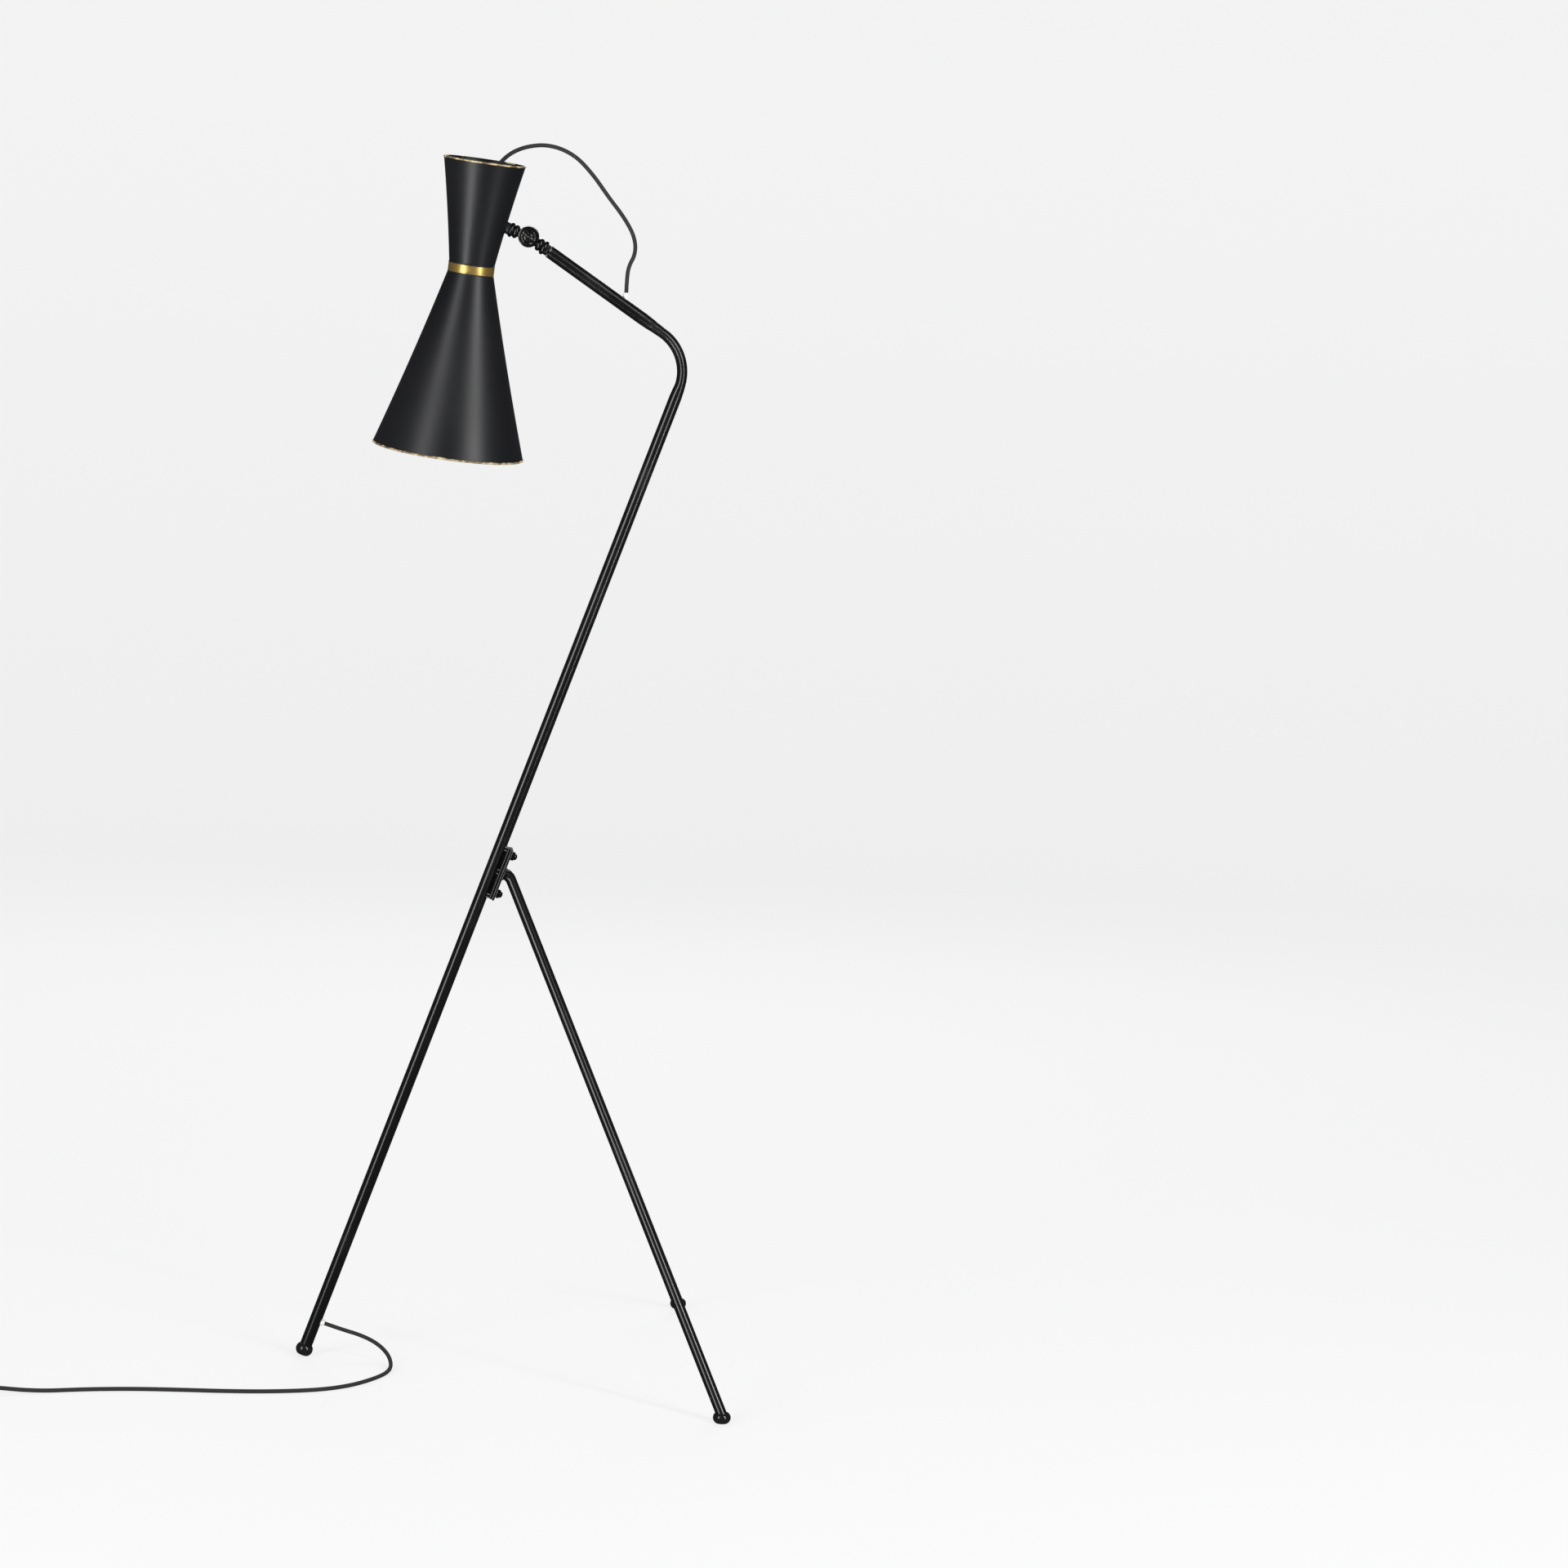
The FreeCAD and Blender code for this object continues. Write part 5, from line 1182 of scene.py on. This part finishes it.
class LAMP_OT_knuckle(BuildOperator, bpy.types.Operator):
    """Knuckle: the arm's half, the shade's half, its slotted screw, washers and nuts"""
    bl_idname = "lamp.knuckle"
    bl_label = "Knuckle"

    def build(self):
        self.arm_half()
        self.head_half()
        self.screw()
        copies((
            ("swivel_nut", "swivel_ring_nut", "swivel", "plain_steel", "steel"),
            ("friction_washer", "knuckle_fibre_washer", "swivel", "fibre_washer", "fibre"),
            ("knuckle_nut", "knuckle_rear_nut", "swivel", "plain_steel", "steel"),
            ("shade_nut", "shade_inner_nut", "head", "plain_steel", "steel"),
            ("shade_washer", "shade_inner_washer", "head", "plain_steel", "steel"),
        ))

    def arm_half(self):
        place = ROLLED @ place_at(KNUCKLE, ARM_DIR, ACROSS.cross(ARM_DIR))
        neck = [(0, BEAD_START), (NECK_R, BEAD_START), (6.9, 14.0, 0.2),
                *arc_through((7.0, 14.3), (8.8, 17.2), (7.3, 19.9), 12, 0.4),
                (7.0, 20.1), (7.5, 20.35, 0.5), (7.5, 20.75, 0.3), (7.0, 21.0),
                *arc_through((7.5, 21.2), (9.8, 23.9), (7.5, 26.6), 14, 0.42),
                (7.1, 26.8), (7.4, 27.0, 0.45), (7.4, 30.9, 0.45), (7.1, 31.2, 0.6),
                (5.0, 31.2), (5.0, 57.8), (0, 57.8)]
        side = ROLLED @ place_at(KNUCKLE + ACROSS * (CHEEK_GAP / 2), ACROSS, UP)
        parts = [lathe(neck, place, 72), half_stub(place, 1), lathe(cheek_outline(), side, 96)]
        thing = new_piece("knuckle_arm_fork", parts, "fitting_gloss", 38.0)
        settled(thing, "swivel", "fitting_black", "knuckle_arm_half")

    def head_half(self):
        wall, direction = neck_line()
        reach = (wall - Vector((KNUCKLE_OUT, 0, KNUCKLE_UP))).length
        place = IN_HEAD @ place_at(Vector((KNUCKLE_OUT, 0, KNUCKLE_UP)), direction, ACROSS.cross(direction))
        risen = place @ Matrix.Rotation(math.radians(NECK_RISE), 4, ACROSS)
        neck = [(0, BEAD_START), (NECK_R, BEAD_START), (6.6, 14.0, 0.2),
                *arc_through((6.9, 14.3), (8.95, 17.1), (7.4, 20.2), 12, 0.4), (7.0, 20.5),
                *arc_through((7.4, 20.8), (9.75, 23.5), (7.9, 26.0), 14, 0.42), (7.3, 26.25), (0, 26.25)]
        drum = [(0, 26.1), (7.4, 26.2), (7.75, 26.5, 0.5), (7.7, 27.0), (7.7, reach + 0.8),
                (7.4, reach + 1.2), (0, reach + 1.2)]
        stud = [(0, reach - 2), (5.0, reach - 2), (5.0, reach + 11.0), (0, reach + 11.0)]
        side = IN_HEAD @ place_at(Vector((KNUCKLE_OUT, -CHEEK_GAP / 2, KNUCKLE_UP)), -ACROSS, UP)
        parts = [lathe(neck, risen, 72), half_stub(risen, -1), lathe(cheek_outline(), side, 96)]
        thing = new_piece("knuckle_shade_fork", parts, "fitting_gloss", 38.0)
        settled(thing, "head", "fitting_black", "knuckle_head_half")
        drum_piece = new_piece("knuckle_shade_drum", [lathe(drum, risen, 72), lathe(stud, place, 40)],
                               "drum_grey", 38.0)
        settled(drum_piece, "head", "fitting_black")

    def screw(self):
        under = CHEEK_GAP / 2 + CHEEK_T + FACE_GAP
        place = ROLLED @ place_at(KNUCKLE - ACROSS * under, -ACROSS, UP)
        ring = [(SCREW_R, 0), (9.1, 0), (9.4, 0.3, 0.2), (9.4, 2.6),
                *arc_through((9.4, 2.8), (8.5, 4.0), (7.6, 2.8), 12), (7.6, 1.6),
                (SCREW_R, 1.6), (SCREW_R, 0)]
        washer = new_piece("knuckle_ring_washer", [lathe(ring, place, 96)], "fitting_gloss", 38.0)
        head = [(0, -16.5), (SCREW_R, -16.5), (SCREW_R, 1.62), (7.3, 1.62), (7.4, 1.9), (7.4, 2.6),
                (7.0, 2.9), (6.0, 2.9),
                *arc_through((5.9, 3.0), (5.0, 3.9), (4.1, 3.0), 12), (3.9, 2.9), (0, 2.9)]
        screw = new_piece("knuckle_slotted_screw", [lathe(head, place, 96)], "fitting_gloss", 38.0)
        slot = bpy.data.meshes.new("slot_cutter")
        block = bmesh.new()
        bmesh.ops.create_cube(block, size=1.0)
        slope = Matrix.Rotation(math.radians(SLOT_TURN), 4, UP)
        spot = place @ slope @ Matrix.Translation((0, 0, SLOT_DEPTH))
        lean = Matrix.Rotation(math.radians(SLOT_LEAN), 4, "X")
        cutter_size = lean @ Matrix.Diagonal((SLOT_LENGTH, SLOT_WIDTH, SLOT_DEPTH, 1.0))
        block.transform(Matrix.Scale(MM, 4) @ spot @ cutter_size)
        block.to_mesh(slot)
        block.free()
        cutter = link("slot_cutter", slot)
        for thing, node in ((washer, "ring_washer"), (screw, "knuckle_screw")):
            cut = thing.modifiers.new("slot", "BOOLEAN")
            cut.operation = "DIFFERENCE"
            cut.object = cutter
            cut.solver = "EXACT"
            keep_result(thing)
            self.bare_slot(thing, spot)
            settled(thing, "swivel", "fitting_black", node)
        bpy.data.objects.remove(cutter)

    def bare_slot(self, thing, spot):
        """Marks the slot's walls as rubbed bright, partly real wear and partly a painted highlight, and the
        raised rings' crests as worn bright, which is a painted highlight.
        """
        mesh = thing.data
        layer = face_wear(mesh)
        to_slot = (spot @ Matrix.Rotation(math.radians(SLOT_LEAN), 4, "X")).inverted()
        turned = to_slot.to_3x3()
        for face in mesh.polygons:
            middle = to_slot @ (face.center / MM)
            square = abs((turned @ face.normal).y)
            in_slot = abs(middle.y) < SLOT_WIDTH * 0.55 and square > 0.95
            height = (spot.inverted() @ (face.center / MM)).z
            # Crest faces get wear that paints highlight arcs on the raised rings.
            crest_highlight = 0.46 if height > CREST_HEIGHT else 0.1
            layer.data[face.index].value = 0.9 if in_slot else crest_highlight


def keep_result(thing):
    """Replaces an object's mesh by what its modifiers make of it."""
    mesh = evaluated_mesh(thing)
    thing.modifiers.clear()
    thing.data = mesh
    shade_by_angle(mesh, 35.0)


class LAMP_OT_shade(BuildOperator, bpy.types.Operator):
    """Two spun cones, the brass band over their joint and the disc inside it"""
    bl_idname = "lamp.shade"
    bl_label = "Shade"

    def build(self):
        top = {"Rim radius": sizes().shade_top_radius, "Neck radius": NECK_WALL_R * MM,
               "Rim height": SHADE_TOP * MM, "Neck height": RING_HALF * MM * 0.6,
               "Bow": 0.001, "Worn share": 0.016}
        low = {"Rim radius": sizes().shade_bottom_radius, "Neck radius": 0.029,
               "Rim height": SHADE_BOTTOM * MM, "Neck height": -RING_HALF * MM * 0.6,
               "Bow": 0.0016, "Worn share": 0.01}
        to_head = Matrix.Scale(MM, 4) @ IN_HEAD @ Matrix.Scale(1 / MM, 4)
        shared = {"Sheet": SHEET * MM, "Bead": sizes().rim_bead, "Around": 193, "Along": 97,
                  "Material": material("shade_satin")}
        for name, node, values in (("upper_shade_cone", "upper_cone", top),
                                   ("lower_shade_cone", "lower_cone", low)):
            thing = link(name, bpy.data.meshes.new(name))
            run_tree(thing, bpy.data.node_groups["spun_sheet"], {**values, **shared})
            thing.data.transform(to_head)
            settled(thing, "head", "shade_paint", node)
        lip = [(28.3, 6.7), (29.4, 6.9, 0.8), (29.9, 6.5, 1.0), (29.9, 6.0, 1.0), (29.5, 5.6, 0.9),
               (29.5, 4.9, 0.1)]
        low_lip = [(radius, -height, *mark) for radius, height, *mark in lip]
        band = [*low_lip, (29.55, 0), *reversed(lip), low_lip[0]]
        ring = new_piece("neck_brass_band", [lathe(band, IN_HEAD, 144)], "neck_brass", 40.0)
        settled(ring, "head", "ring_brass", "neck_ring")
        smooth_copy("neck_disc", "neck_vent_disc", "head", "plain_steel", "steel")


class LAMP_OT_holder(BuildOperator, bpy.types.Operator):
    """Lamp holder on its nipple, and the opal bulb"""
    bl_idname = "lamp.holder"
    bl_label = "Holder and bulb"

    def build(self):
        copies((
            ("holder_nipple", "holder_threaded_nipple", "head", "turned_brass", "brass"),
            ("nipple_nuts", "nipple_lock_nuts", "head", "turned_brass", "brass"),
            ("holder_cap", "holder_domed_cap", "head", "holder_bakelite", "bakelite"),
            ("holder_body", "holder_skirt", "head", "holder_bakelite", "bakelite"),
            ("holder_insert", "holder_contact_block", "head", "holder_porcelain", "porcelain"),
            ("screw_shell", "holder_screw_shell", "head", "turned_brass", "brass"),
            ("centre_contact", "holder_centre_contact", "head", "turned_brass", "brass"),
            ("bulb_cap", "bulb_screw_cap", "head", "bulb_cap_metal", "cap_metal"),
            ("bulb_glass", "bulb_opal_glass", "head", "opal_glass", "opal_glass"),
        ))


class LAMP_OT_stage(BuildOperator, bpy.types.Operator):
    """Pale round backdrop, soft lamps and even room light"""
    bl_idname = "lamp.stage"
    bl_label = "Stage"

    def build(self):
        settings = stage_settings()
        bare_material("pale_backdrop", (0.22, 0.22, 0.221), 0.9, specular_ior_level=0.0,
                      emission_color=(1, 1, 1, 1), emission_strength=settings.backdrop_glow)
        outline = [(0, 0), (FLOOR_RING, 0), (FLAT_FLOOR, 0)]
        for k in range(1, 13):
            angle = math.pi / 2 * k / 12
            outline.append((FLAT_FLOOR + COVE_R * math.sin(angle), COVE_R - COVE_R * math.cos(angle)))
        outline.append((FLAT_FLOOR + COVE_R, BACKDROP_HEIGHT))
        floor = new_piece("backdrop", [lathe(outline, Matrix.Identity(4), 96)], "pale_backdrop", 60.0)
        floor.data.flip_normals()
        floor.visible_glossy = False
        world = bpy.data.worlds.new("room")
        world.use_nodes = True
        back = world.node_tree.nodes["Background"]
        back.inputs["Color"].default_value = (1, 1, 1, 1)
        back.inputs["Strength"].default_value = settings.room_light
        bpy.context.scene.world = world
        bpy.context.scene.view_settings.view_transform = "Standard"
        self.lamp("key", (2.24, -3.0, 2.9), (-0.1, 0, 1.1), (1.2, 1.6), settings.key_power)
        self.lamp("fill", (-2.4, -3.0, 2.1), (0, 0, 0.9), (1.6, 2.6), settings.key_power * 0.6)
        self.lamp("strip_left", (-2.3, -2.4, 1.3), (0, 0, 0.9), (0.8, 2.6), settings.strip_power * 0.8)
        self.lamp("strip_right", (2.2, -2.4, 1.3), (0, 0, 0.9), (0.22, 2.6), settings.strip_power * 0.8)
        low = self.lamp("low", (-1.37, -1.45, 0.15), (-0.1, 0, 1.45), (0.5, 0.5), settings.key_power * 0.022)
        low.data.spread = math.radians(40)
        self.lamp("back", (0.4, 3.6, 3.2), (0, 0, 0.9), (2.4, 1.6), settings.key_power * 1.2)

    def lamp(self, name, place, aim, size, power):
        data = bpy.data.lights.new(name, "AREA")
        data.shape = "RECTANGLE"
        data.size = size[0]
        data.size_y = size[1]
        data.energy = power
        thing = link(name, data)
        thing.location = place
        thing.rotation_mode = "QUATERNION"
        thing.rotation_quaternion = (Vector(aim) - Vector(place)).to_track_quat("-Z", "Y")
        thing.visible_camera = False
        return thing


BUILD_ORDER = (LAMP_OT_camera, LAMP_OT_finishes, LAMP_OT_head_cord, LAMP_OT_mains_lead, LAMP_OT_stem,
               LAMP_OT_legs, LAMP_OT_clamp, LAMP_OT_knuckle, LAMP_OT_shade, LAMP_OT_holder, LAMP_OT_stage)


class LAMP_PT_sidebar(bpy.types.Panel):
    """Lists the lamp's sizes, finishes and build steps"""
    bl_idname = "LAMP_PT_sidebar"
    bl_label = "Tripod Lamp"
    bl_space_type = "VIEW_3D"
    bl_region_type = "UI"
    bl_category = "Lamp"

    def draw(self, context):
        for group in (context.scene.lamp_sizes, context.scene.lamp_finishes, context.scene.lamp_stage):
            box = self.layout.box()
            for name in group.__annotations__:
                box.prop(group, name)
        for operator in BUILD_ORDER:
            self.layout.operator(operator.bl_idname)


GROUPS = (LampSizes, LampFinishes, LampStage)


def register():
    for item in (*GROUPS, *BUILD_ORDER, LAMP_PT_sidebar):
        bpy.utils.register_class(item)
    bpy.types.Scene.lamp_sizes = bpy.props.PointerProperty(type=LampSizes)
    bpy.types.Scene.lamp_finishes = bpy.props.PointerProperty(type=LampFinishes)
    bpy.types.Scene.lamp_stage = bpy.props.PointerProperty(type=LampStage)


def unregister():
    for name in ("lamp_sizes", "lamp_finishes", "lamp_stage"):
        delattr(bpy.types.Scene, name)
    for item in reversed((*GROUPS, *BUILD_ORDER, LAMP_PT_sidebar)):
        bpy.utils.unregister_class(item)


def main():
    register()
    for operator in BUILD_ORDER:
        group, name = operator.bl_idname.split(".")
        getattr(getattr(bpy.ops, group), name)()


if __name__ == "__main__":
    main()
